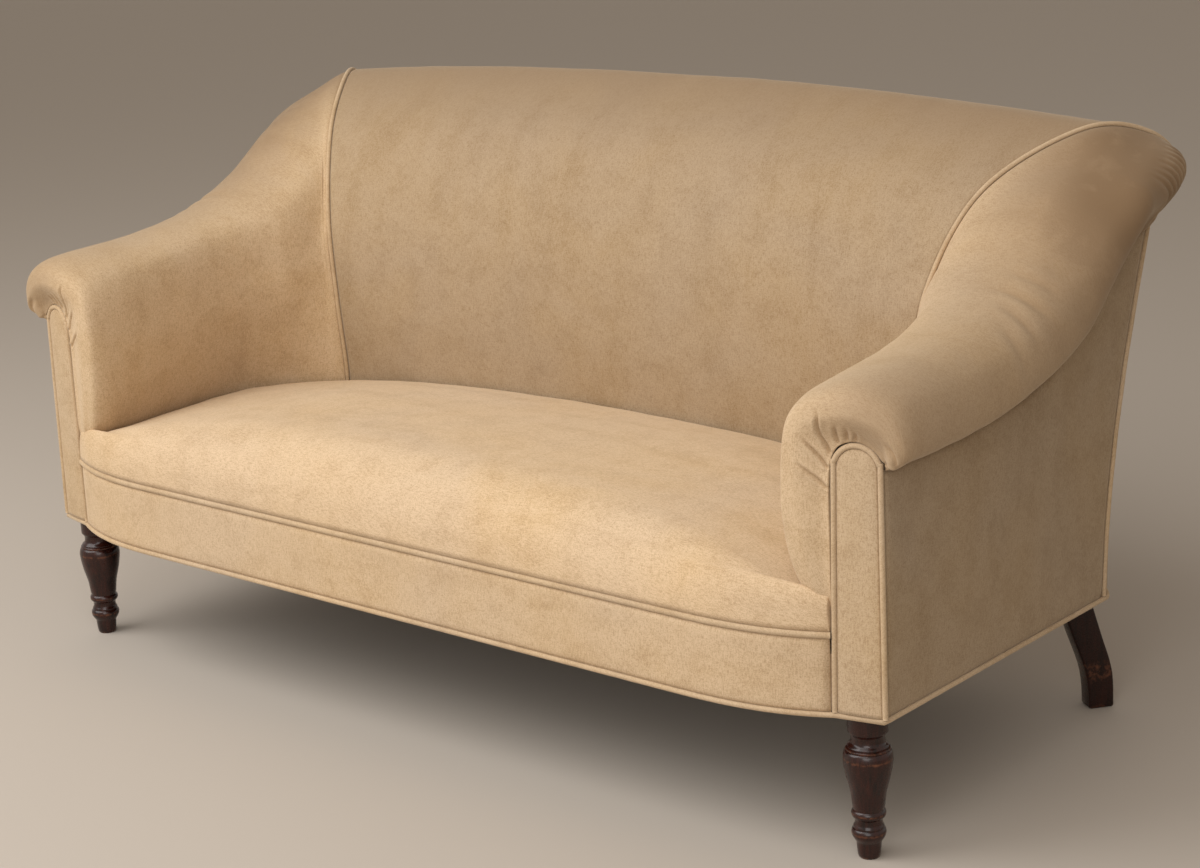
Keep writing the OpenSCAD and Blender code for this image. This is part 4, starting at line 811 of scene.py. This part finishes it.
def facingPiece(name):
    outline = facingOutline(facingPad["inset"])
    spine = outline.copy()
    spine[:, 0] = facingLong / 2
    spine[:, 1] = np.minimum(spine[:, 1], settee["facingSpring"])
    shares = np.linspace(0, 1, facingPad["rings"])
    layers = [(spine + (outline - spine) * w, facingPad["edge"] - facingPad["dome"] * (1 - w ** 4))
              for w in shares]
    layers += [(outline, settee["facing"]), (spine, settee["facing"])]
    grid = np.array([np.stack([flat[:, 0], np.full(len(flat), depth), flat[:, 1]], 1)
                     for flat, depth in layers])
    rows, cols = grid.shape[:2]
    faces = gridFaces(rows, cols)
    for j in (0, cols - 1):
        end = [i * cols + j for i in range(rows)]
        faces.append(end if j else end[::-1])
    # distance from the outline; the cloth is darkened beside the welt as painted shade
    edge = np.repeat(np.concatenate([np.linspace(0.03, 0, facingPad["rings"]), [0, 0]]), cols)
    obj = addMesh(name, atFacing(grid).reshape(-1, 3), faces, facingVelvet, grid.reshape(-1, 3)[:, [0, 2]],
                  {"fold": np.zeros(rows * cols), "seam": edge, "soil": np.zeros(rows * cols)})
    facesOut(obj, facingPad["doubles"])
    obj.select_set(False)
    return obj


bothSides(facingPiece("armFacingRight"), "upholstery", "arm_facing", fill=0.7)
print("facings made")


# Piping and welts, a cord wrapped in the same cloth
def pair(name, path, side, node, seed):
    right = tube(name + "Right", evenly(path, cord["step"]), pipingR, pipingCloth, side, lumpy=0.05,
                 seed=seed)
    bothSides(right, "piping", node)


seamPath = skin(1, np.linspace(0.3, guideCount, 60))
pair("cornerPiping", seamPath, (settee["backDepth"], -settee["armThick"], 0), "arm_back_piping", 1.0)
middleHigh = (coverBottom + settee["facingSpring"]) / 2
arch = [(facingLong / 2 + archR * math.cos(a), pipingR / 2, settee["facingSpring"] + archR * math.sin(a))
        for a in np.linspace(math.pi, 0, 17)]
facingPath = [(0, pipingR / 2, coverBottom), (facingPad["taper"] / 2, pipingR / 2, middleHigh)] + arch \
    + [(facingLong - facingPad["taper"] / 2, pipingR / 2, middleHigh), (facingLong, pipingR / 2, coverBottom)]
pair("facingWelt", atFacing(facingPath), (0, 1, 0), "facing_welt", 2.0)
rearPath = [(sideX - pipingR / 2 - gap, backLineY(z) - pipingR / 2 - gap, z)
            for z in np.linspace(coverBottom, panelTop, 30)]
pair("rearEdgeWelt", rearPath, (0, 1, 0), "rear_edge_welt", 3.0)


def bowLine(endX, offset, z):
    xs = np.linspace(-endX, endX, 120)
    return np.stack([xs, bowY(xs) + offset, np.full(len(xs), z)], 1)


seatWelt = tube("seatWelt", evenly(bowLine(borderEnd, weltR / 2, settee["welt"]), cord["step"]), weltR,
                pipingCloth, lumpy=0.06, seed=4.0)
settled(seatWelt, "piping", "seat_welt")
weltZ = settee["base"] + pipingR
frontHalf = [p for p in bowLine(innerX, pipingR / 2, weltZ) if p[0] > 0]
sideLine = sideX - pipingR / 2
cornerPoint = [(sideLine, frontY + settee["facingOut"] + pipingR / 2, weltZ)]
rearHalf = [(x, rearY(x, settee["base"]) - pipingR / 2, weltZ)
            for x in sideLine * np.sin(np.linspace(1, 0.02, 40) * math.pi / 2)]
sideHalf = [(sideLine, y, weltZ) for y in np.linspace(cornerPoint[0][1], rearHalf[0][1], 50)[1:-1]]
halfWay = np.array(frontHalf + cornerPoint + sideHalf + rearHalf)
bottomPath = np.concatenate([halfWay, halfWay[::-1] * (-1, 1, 1)])
bottomWelt = tube("bottomWelt", bottomPath, pipingR, pipingCloth, closed=True, lumpy=0.06, seed=5.0)
settled(bottomWelt, "piping", "bottom_welt")
print("piping made")


# Legs, in dark polished wood
polish = {"dark": (0.009, 0.0026, 0.0016), "red": (0.075, 0.0155, 0.008), "wearAndShade": (0.19, 0.07, 0.033)}


def polishFinish(name, red, coat):
    finish = Finish(name, Coat_Roughness=0.1, Specular_IOR_Level=0.3)
    place = finish.place()
    grain = finish.threads(place, (260, 260, 14), 4.0, 0.6, 0.4)
    figure = finish.threads(place, (40, 40, 9), 2.0, 0.5, 1.2)
    scuffs = finish.noise(place, 120.0, 4.0, 0.7)
    wearAndShade = finish.attribute("wear")
    tone = finish.layered(polish["dark"], (grain * 0.6 + figure * 0.6, 0.45, 0.8, red, polish["red"]))
    rubbed = finish.layered(tone, (wearAndShade * finish.between(scuffs, 0.3, 0.7), 0.25, 0.9, 0.75, polish["wearAndShade"]))
    rough = finish.between(scuffs, 0.3, 0.75, 0.2, 0.38)
    return finish.feed(Base_Color=rubbed, Roughness=rough,
                       Coat_Weight=finish.between(wearAndShade, 0.2, 1.0, coat, 0.15),
                       Normal=finish.bumped(grain, 0.0002, 0.35))


mahogany = polishFinish("turnedMahogany", 0.5, 0.24)
darkLeg = polishFinish("darkPolish", 0.3, 0.12)
frontLeg = {"place": (0.716, -0.3025), "sides": 56, "foot": 0.0118, "dowel": 0.011, "dowelTall": 0.034,
            "smooth": 38, "wornRings": (0.002, 0.033, 0.058, 0.13, 0.1422), "wornWide": 0.0016,
            "profile": (                       # height, radius
    (0.0015, 0.013), (0.004, 0.0139), (0.011, 0.0147), (0.017, 0.0152), (0.0205, 0.0156), (0.0225, 0.0166),
    (0.0255, 0.0188), (0.029, 0.0206), (0.033, 0.0214), (0.0362, 0.0208), (0.0382, 0.0196), (0.0388, 0.0187),
    (0.0398, 0.019), (0.0415, 0.0187), (0.043, 0.0176), (0.045, 0.017), (0.05, 0.0169), (0.0515, 0.0176),
    (0.053, 0.0194), (0.0552, 0.0208), (0.058, 0.0214), (0.0606, 0.0207), (0.0622, 0.0195), (0.0628, 0.0188),
    (0.064, 0.0191), (0.0655, 0.0192), (0.067, 0.0198), (0.075, 0.0206), (0.0835, 0.0217), (0.09, 0.0231),
    (0.096, 0.0247), (0.102, 0.0263), (0.108, 0.0277), (0.115, 0.029), (0.121, 0.0299), (0.126, 0.0305),
    (0.13, 0.0307), (0.134, 0.0303), (0.1375, 0.0294), (0.14, 0.0282), (0.1406, 0.0272), (0.1416, 0.0276),
    (0.1428, 0.0275), (0.1438, 0.0264), (0.1444, 0.0252), (0.1456, 0.0254), (0.1468, 0.0247), (0.148, 0.0228),
    (0.15, 0.0213), (0.1535, 0.0206), (0.1575, 0.0208), (0.1605, 0.0219), (0.1625, 0.0236), (0.164, 0.0247),
    (0.166, 0.025), (0.1935, 0.025))}


def pulled(rise, scale, centre, sideways=(0, 0)):
    bpy.ops.mesh.extrude_region_move(TRANSFORM_OT_translate={"value": (sideways[0], sideways[1], rise)})
    bpy.ops.transform.resize(value=(scale[0], scale[1], 1), center_override=centre)


def finishLeg(obj, smoothTo, material, wearAt):
    bpy.ops.object.transform_apply(location=True, rotation=True, scale=True)
    bpy.ops.object.shade_smooth_by_angle(angle=math.radians(smoothTo))
    obj.data.materials.append(material)
    wear = [wearAt(point.co.z) for point in obj.data.vertices]
    obj.data.attributes.new("wear", "FLOAT", "POINT").data.foreach_set("value", wear)
    obj.select_set(False)
    return obj


def turnedLeg(name):
    x, y = frontLeg["place"]
    lastZ, lastR = 0.0, frontLeg["foot"]
    bpy.ops.mesh.primitive_circle_add(vertices=frontLeg["sides"], radius=lastR, fill_type="NGON",
                                      location=(x, y, 0))
    obj = bpy.context.object
    obj.name = obj.data.name = name
    bpy.ops.object.mode_set(mode="EDIT")
    bpy.ops.mesh.select_mode(type="FACE")
    bpy.ops.mesh.select_all(action="SELECT")
    for z, r in frontLeg["profile"]:
        pulled(z - lastZ, (r / lastR, r / lastR), (x, y, z))
        lastZ, lastR = z, r
    bpy.ops.mesh.inset(thickness=lastR - frontLeg["dowel"], depth=0)
    bpy.ops.mesh.extrude_region_move(TRANSFORM_OT_translate={"value": (0, 0, frontLeg["dowelTall"])})
    facesOut(obj)
    return finishLeg(obj, frontLeg["smooth"], mahogany,
                     lambda z: max(math.exp(-((z - ring) / frontLeg["wornWide"]) ** 2)
                                   for ring in frontLeg["wornRings"]))


bothSides(turnedLeg("frontLegRight"), "leg_wood", "front_leg")

backLeg = {"foot": (0.703, 0.2805), "width": 0.03, "footDepth": 0.036, "topDepth": 0.044, "sweep": 0.05,
           "turn": math.radians(53), "bevel": 0.0035, "smooth": 40,
           "wearAndShade": ((0.055, 0.02, 0.8), (0.0, 0.01, 0.6)),   # height, reach, how much
           "sweepShares": (                    # height, sweep, depth
               (0, 0, 0), (0.06, 0.003, 0.05), (0.13, 0.012, 0.1), (0.19, 0.03, 0.2), (0.25, 0.06, 0.3),
               (0.31, 0.112, 0.4), (0.37, 0.18, 0.5), (0.43, 0.262, 0.58), (0.5, 0.36, 0.65),
               (0.56, 0.442, 0.73), (0.62, 0.52, 0.8), (0.7, 0.624, 0.86), (0.78, 0.72, 0.9),
               (0.89, 0.862, 0.95), (1, 1, 1))}


def sweptLeg(name):
    depth, width, tall = backLeg["footDepth"], backLeg["width"], frameBottom
    bpy.ops.mesh.primitive_plane_add(size=1, location=(0, 0, 0))
    obj = bpy.context.object
    obj.name = obj.data.name = name
    bpy.ops.object.mode_set(mode="EDIT")
    bpy.ops.mesh.select_mode(type="FACE")
    bpy.ops.mesh.select_all(action="SELECT")
    bpy.ops.transform.resize(value=(depth, width, 1), center_override=(0, 0, 0))
    lastZ, lastX, lastDepth = 0.0, 0.0, depth
    for z, sweep, grow in backLeg["sweepShares"][1:]:
        newX, newDepth = -backLeg["sweep"] * sweep, depth + (backLeg["topDepth"] - depth) * grow
        pulled(z * tall - lastZ, (newDepth / lastDepth, 1), (newX, 0, z * tall), (newX - lastX, 0))
        lastZ, lastX, lastDepth = z * tall, newX, newDepth
    facesOut(obj)
    bevel = obj.modifiers.new("bevel", "BEVEL")
    bevel.width, bevel.segments = backLeg["bevel"], 3
    bevel.limit_method, bevel.angle_limit = "ANGLE", math.radians(50)
    bpy.ops.object.modifier_apply(modifier=bevel.name)
    obj.rotation_euler = (0, 0, backLeg["turn"])
    obj.location = (*backLeg["foot"], 0)
    return finishLeg(obj, backLeg["smooth"], darkLeg,
                     lambda z: sum(most * math.exp(-((z - height) / reach) ** 2)
                                   for height, reach, most in backLeg["wearAndShade"]))


bothSides(sweptLeg("backLegRight"), "leg_wood", "back_leg")
print("legs made")


# Inside the settee: webbing, springs, hessian and the dust cover
inside = {"strapWide": 0.05, "strapThick": 0.002, "longY": (-0.2145, -0.105, 0.0045), "longHalf": 0.748,
          "crossHalf": 0.56345, "crossCount": 8, "crossRear": 0.2515, "frontGap": 0.0088, "strapMid": 0.1915,
          "springLow": 0.1935, "springHigh": 0.2985, "springWide": 0.088, "springWaist": 0.058, "wire": 0.002,
          "turns": 5, "backShares": (-0.78, -0.53, -0.12, 0.12, 0.53, 0.78), "backHalf": 0.69545,
          "backLow": (0.2291, 0.2655), "backHigh": (0.2687, 0.6975),
          "backCoils": ((0.24204, 0.43714), (0.25341, 0.56122)), "backCoilScale": 0.62,
          "backHessianY": 0.1259, "hessian": 0.0015, "dust": 0.001}


def plainCloth(name, pale, deepTone, count, stripes=0.0):
    finish = Finish(name, Roughness=0.92, Specular_IOR_Level=0.1)
    laid = finish.along("cloth")
    parts = [finish.node("SeparateXYZ", {}, {0: laid}, axis) for axis in (0, 1)]
    waves = [finish.node("Math", {"operation": "SINE"}, {0: part * (2 * math.pi * count)}) for part in parts]
    slubs = finish.threads(laid, (count * 0.9, count * 0.12, 1), 2.0, 0.6)
    fibres = finish.noise(finish.place(), 700.0, 3.0, 0.7)
    crossed = waves[0] * waves[1] * 0.5 + 0.5
    base = finish.layered(deepTone, (crossed + slubs * 0.8, 0.3, 1.3, 1.0, pale),
                          (fibres, 0.35, 0.7, 0.4, pale))
    if stripes:                                 # a line along each edge of the webbing
        edge = finish.node("Math", {"operation": "ABSOLUTE"}, {0: parts[1] - inside["strapWide"] / 2})
        base = finish.layered(base, (edge, 0.017, 0.0185, stripes, deepTone))
    return finish.feed(Base_Color=base, Normal=finish.bumped(crossed + fibres * 0.3, 0.0006, 0.8))


hessianCloth = plainCloth("hessianCloth", (0.56, 0.42, 0.26), (0.27, 0.18, 0.1), 420)
webbingCloth = plainCloth("webbingCloth", (0.6, 0.5, 0.36), (0.2, 0.12, 0.07), 700, 0.7)
dustCloth = plainCloth("dustCloth", (0.05, 0.046, 0.042), (0.016, 0.015, 0.014), 900)


def steelFinish():
    finish = Finish("springSteel", Metallic=1.0)
    place = finish.place()
    drawn = finish.threads(place, (90, 90, 420), 3.0, 0.6)
    spots = finish.noise(place, 60.0, 4.0, 0.7)
    base = finish.layered((0.5, 0.5, 0.52), (spots, 0.55, 0.75, 0.5, (0.3, 0.2, 0.13)))
    return finish.feed(Base_Color=base,
                       Roughness=finish.between(drawn * 0.5 + spots * 0.5, 0.35, 0.65, 0.28, 0.5),
                       Normal=finish.bumped(drawn, 0.00015, 0.4))


springSteel = steelFinish()


def sheetPiece(name, node, grid, thick, material, slot):   # cut to its outline, which is the grid's
    piece = slab(name, grid, grid + np.asarray(thick), material)
    settled(piece, slot, node)


def straps(name, node, lines, thick):   # each line: its points, and its half width
    points, faces, uv, long, wide = [], [], [], 0, inside["strapWide"]
    for middle, half in lines:
        length, start, count = lengths(middle), sum(len(group) for group in points), len(middle)
        ring = [middle - half, middle + half, middle + half + thick, middle - half + thick]
        points.append(np.stack(ring, 1).reshape(-1, 3))
        uv.append(np.stack([np.stack([length, np.full(count, w)], 1)
                            for w in (0, wide, wide, 0)], 1).reshape(-1, 2))
        for i in range(count - 1):
            a, b = start + 4 * i, start + 4 * i + 4
            faces += [[a + k, a + (k + 1) % 4, b + (k + 1) % 4, b + k] for k in range(4)]
        faces += [[start + k for k in (3, 2, 1, 0)], [start + 4 * (count - 1) + k for k in range(4)]]
        long += length[-1]
    points = np.concatenate(points)
    piece = addMesh(name, points, faces, webbingCloth, np.concatenate(uv),
                    {"fold": np.zeros(len(points))}, False)
    facesOut(piece)
    piece.select_set(False)
    settled(piece, "hessian", node)


def webbing():
    crossX = np.linspace(-inside["crossHalf"], inside["crossHalf"], inside["crossCount"])
    between, apart = crossX[1] - crossX[0], inside["longY"][1] - inside["longY"][0]
    thick, mid, half = inside["strapThick"], inside["strapMid"], inside["strapWide"] / 2
    lines = []
    for j, y in enumerate(inside["longY"]):    # the straps pass over and under each other
        xs = np.linspace(-inside["longHalf"], inside["longHalf"], 150)
        zs = mid - thick / 2 + thick / 2 * np.cos(math.pi * ((xs - crossX[0]) / between + j))
        lines.append((np.stack([xs, np.full(150, y), zs], 1), (0, half, 0)))
    straps("seatWebbingLong", "seat_webbing_long", lines, (0, 0, thick))
    lines = []
    for i, x in enumerate(crossX):
        ys = np.linspace(bowY(np.array(abs(x) + half)) + inside["frontGap"], inside["crossRear"], 60)
        zs = mid - thick / 2 - thick / 2 * np.cos(math.pi * ((ys - inside["longY"][0]) / apart + i))
        lines.append((np.stack([np.full(60, x), ys, zs], 1), (half, 0, 0)))
    straps("seatWebbingCross", "seat_webbing_cross", lines, (0, 0, thick))
    lines = []
    for x in np.array(inside["backShares"]) * inside["backHalf"]:
        low, high = np.array((x, *inside["backLow"])), np.array((x, *inside["backHigh"]))
        lines.append((low + (high - low) * np.linspace(0, 1, 12)[:, None], (half, 0, 0)))
    straps("backWebbing", "back_webbing", lines, (0, thick, 0))
    return crossX


def coilSpring():                              # a coil of even turns, drawn in to a waist
    wire, wide, tall = inside["wire"], inside["springWide"], inside["springHigh"] - inside["springLow"]
    bpy.ops.object.select_all(action="DESELECT")
    bpy.ops.mesh.primitive_circle_add(vertices=6, radius=wire, location=(wide / 2 - wire, 0, wire),
                                      rotation=(math.pi / 2, 0, 0))
    spring = bpy.context.object
    bpy.ops.object.transform_apply(location=True, rotation=True, scale=True)
    turned = spring.modifiers.new("turns", "SCREW")
    turned.steps = turned.render_steps = 16
    turned.iterations = inside["turns"]
    turned.screw_offset = (tall - 2 * wire) / inside["turns"]
    turned.use_smooth_shade = True
    bpy.ops.object.modifier_apply(modifier="turns")
    bpy.ops.object.mode_set(mode="EDIT")
    bpy.ops.mesh.select_all(action="SELECT")
    bpy.ops.mesh.fill_holes(sides=8)
    bpy.ops.mesh.select_all(action="DESELECT")
    bpy.ops.object.mode_set(mode="OBJECT")
    for vertex in spring.data.vertices:
        vertex.select = abs(vertex.co.z - tall / 2) < tall / inside["turns"] / 2
    bpy.ops.object.mode_set(mode="EDIT")
    narrow = inside["springWaist"] / wide
    bpy.ops.transform.resize(value=(narrow, narrow, 1), center_override=(0, 0, tall / 2),
                             use_proportional_edit=True, proportional_edit_falloff="SMOOTH",
                             proportional_size=tall / 2)
    facesOut(spring)
    spring.data.materials.append(springSteel)
    return spring, tall


def springs(name, node, pattern, places):      # each place: where the coil starts, its scale and its turn
    made = []
    for place, scale, turn in places:
        copy = pattern.copy()
        copy.data = pattern.data.copy()
        copy.location, copy.scale, copy.rotation_euler = place, scale, turn
        bpy.context.collection.objects.link(copy)
        made.append(copy)
    bpy.ops.object.select_all(action="DESELECT")
    for copy in made:
        copy.select_set(True)
    bpy.context.view_layer.objects.active = made[0]
    bpy.ops.object.join()
    bpy.ops.object.transform_apply(location=True, rotation=True, scale=True)
    piece = bpy.context.object
    piece.name = piece.data.name = name
    piece.select_set(False)
    settled(piece, "steel", node)


crossPlaces = webbing()
pattern, tall = coilSpring()
springs("seatSprings", "seat_springs", pattern, [((x, y, inside["springLow"]), (1, 1, 1), (0, 0, 0.7 * k))
                                                 for k, x in enumerate(crossPlaces) for y in inside["longY"]])
narrow = inside["backCoilScale"]
springs("backSprings", "back_springs", pattern,
        [((share * inside["backHalf"], y, z), (narrow, narrow, (y - inside["backHessianY"]) / tall),
          (math.pi / 2, 0, 0)) for share in inside["backShares"] for y, z in inside["backCoils"]])
bpy.data.objects.remove(pattern)

sheets = {"seat": {"rows": 30, "columns": 61, "sideGap": 0.0086, "frontGap": 0.006, "rearGap": 0.015,
                   "height": 0.3},
          "back": {"half": 0.58645, "low": 0.3, "high": 0.6265, "y": 0.12439},
          "dust": {"half": 0.691, "notch": 0.6465, "cornerRear": 0.1768, "rear": 0.2524, "height": 0.1895,
                   "sag": 0.0012, "rows": 24}}
cut = sheets["seat"]
seatShares = np.linspace(0, 1, cut["rows"])
sides = np.interp(cornerY + (seamNet[0][1] - cornerY) * seatShares, meetLine[:, 1], meetLine[:, 0]) \
    - cut["sideGap"]
grid = np.zeros((cut["rows"], cut["columns"], 3))
for row, (t, edge) in enumerate(zip(seatShares, sides)):
    xs = np.linspace(-edge, edge, cut["columns"])
    ys = bowY(xs) + cut["frontGap"]
    grid[row] = np.stack([xs, ys + (tuckY(xs) - cut["rearGap"] - ys) * t, np.full(len(xs), cut["height"])], 1)
sheetPiece("seatHessian", "seat_hessian", grid, (0, 0, -inside["hessian"]), hessianCloth, "hessian")
cut = sheets["back"]
high, wide = np.meshgrid(np.linspace(cut["high"], cut["low"], 20), np.linspace(-cut["half"], cut["half"], 60),
                         indexing="ij")
sheetPiece("backHessian", "back_hessian", np.stack([wide, np.full(wide.shape, cut["y"]), high], 2),
           (0, inside["hessian"], 0), hessianCloth, "hessian")
cut = sheets["dust"]                           # cut in at its rear corners, round the legs' blocks
inner, outer = cut["notch"] - 0.0005, cut["notch"] + 0.001
dustX = np.concatenate([[-cut["half"], -outer], np.linspace(-inner, inner, 57), [outer, cut["half"]]])
dustRear = np.where(np.abs(dustX) > cut["notch"], cut["cornerRear"], cut["rear"])
dustFront = bowY(dustX) + inside["frontGap"]
sag = cut["sag"] * np.outer(np.sin(np.linspace(0, math.pi, cut["rows"])),
                            np.cos(dustX / cut["half"] * math.pi / 2))
dust = np.stack([np.broadcast_to(dustX, sag.shape), dustFront + (dustRear - dustFront)
                 * np.linspace(0, 1, cut["rows"])[:, None], cut["height"] - sag], 2)
sheetPiece("dustCover", "dust_cover", dust, (0, 0, -inside["dust"]), dustCloth, "dust_cloth")
print("inside made")


# The frame of the settee keeps its solids, and gets raw beech with the grain along each member
def beechFinish(name, fibre):
    finish = Finish(name, Specular_IOR_Level=0.25)
    place = finish.place()
    lengthwise = [7.0 if axis == fibre else 170.0 for axis in range(3)]
    slow = [2.2 if axis == fibre else 26.0 for axis in range(3)]
    grain = finish.threads(place, lengthwise, 4.0, 0.6, 0.3)
    figure = finish.threads(place, slow, 3.0, 0.55, 1.4)
    pores = finish.threads(place, [part * 4 for part in lengthwise], 2.0, 0.6)
    base = finish.layered((0.6, 0.42, 0.25), (figure, 0.35, 0.65, 1.0, (0.7, 0.53, 0.35)),
                          (grain, 0.5, 0.7, 0.4, (0.45, 0.28, 0.15)),
                          (pores, 0.62, 0.72, 0.5, (0.3, 0.18, 0.1)))
    return finish.feed(Base_Color=base, Roughness=finish.between(grain, 0.3, 0.7, 0.55, 0.75),
                       Normal=finish.bumped(grain, 0.0003, 0.4))


members = {                                    # the direction that the grain runs in, and the pieces
    "X": ("front_rail", "back_rail", "back_top_board", "back_tacking_rail", "corner_blocks"),
    "Y": ("side_rail_left", "side_rail_right", "arm_board_left", "arm_board_right", "arm_tacking_rail_left",
          "arm_tacking_rail_right"),
    "Z": ("front_post_left", "front_post_right", "back_post_left", "back_post_right", "back_uprights")}


def dress(node, material):
    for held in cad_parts[node].material_slots:
        held.material = material


for fibre, names in members.items():
    beech = beechFinish("beech" + fibre, "XYZ".index(fibre))
    for name in names:
        dress(name, beech)
dress("corner_block_screws", springSteel)
print("frame finished")


# Floor, background and lamps
room = {"floor": (0.5, 0.445, 0.385), "background": (0.62, 0.59, 0.55), "ambient": 0.37,
        "ambientTone": (1.0, 0.87, 0.74), "lamps": (   # name, place, size, watts
            ("key", (-1.8, -2.3, 2.6), 3.2, 85), ("front", (0.3, -2.2, 3.4), 3.0, 44),
            ("fill", (2.0, -3.0, 1.6), 2.2, 36))}


def addRoom():
    bpy.ops.mesh.primitive_plane_add(size=60, location=(0, 0, 0))
    floor = bpy.context.object
    floor.name = "floor"
    finish = Finish("paleFloor", Roughness=0.7, Specular_IOR_Level=0.2)
    finish.shader.inputs["Base Color"].default_value = (*room["floor"], 1)
    floor.data.materials.append(finish.material)
    floor.select_set(False)
    world = bpy.data.worlds.new("studio")
    bpy.context.scene.world = world
    world.use_nodes = True
    tree = world.node_tree
    ambient = tree.nodes["Background"]
    ambient.inputs["Color"].default_value = (*room["ambientTone"], 1)
    ambient.inputs["Strength"].default_value = room["ambient"]
    shown = tree.nodes.new("ShaderNodeBackground")
    shown.inputs["Color"].default_value = (*room["background"], 1)
    path = tree.nodes.new("ShaderNodeLightPath")
    seen = path.outputs["Is Camera Ray"]
    for ray in ("Is Glossy Ray", "Is Transmission Ray"):
        either = tree.nodes.new("ShaderNodeMath")
        either.operation = "MAXIMUM"
        tree.links.new(seen, either.inputs[0])
        tree.links.new(path.outputs[ray], either.inputs[1])
        seen = either.outputs[0]
    mix = tree.nodes.new("ShaderNodeMixShader")
    tree.links.new(seen, mix.inputs[0])
    tree.links.new(ambient.outputs[0], mix.inputs[1])
    tree.links.new(shown.outputs[0], mix.inputs[2])
    tree.links.new(mix.outputs[0], tree.nodes["World Output"].inputs["Surface"])
    for name, place, size, power in room["lamps"]:
        data = bpy.data.lights.new(name, "AREA")
        data.shape, data.size, data.energy = "DISK", size, power
        lamp = bpy.data.objects.new(name, data)
        bpy.context.collection.objects.link(lamp)
        lamp.location = place
        lamp.rotation_mode = "QUATERNION"
        lamp.rotation_quaternion = (Vector((0, 0, 0.4)) - Vector(place)).to_track_quat("-Z", "Y")
    bpy.context.scene.view_settings.view_transform = "Standard"


addRoom()
print("room lit")
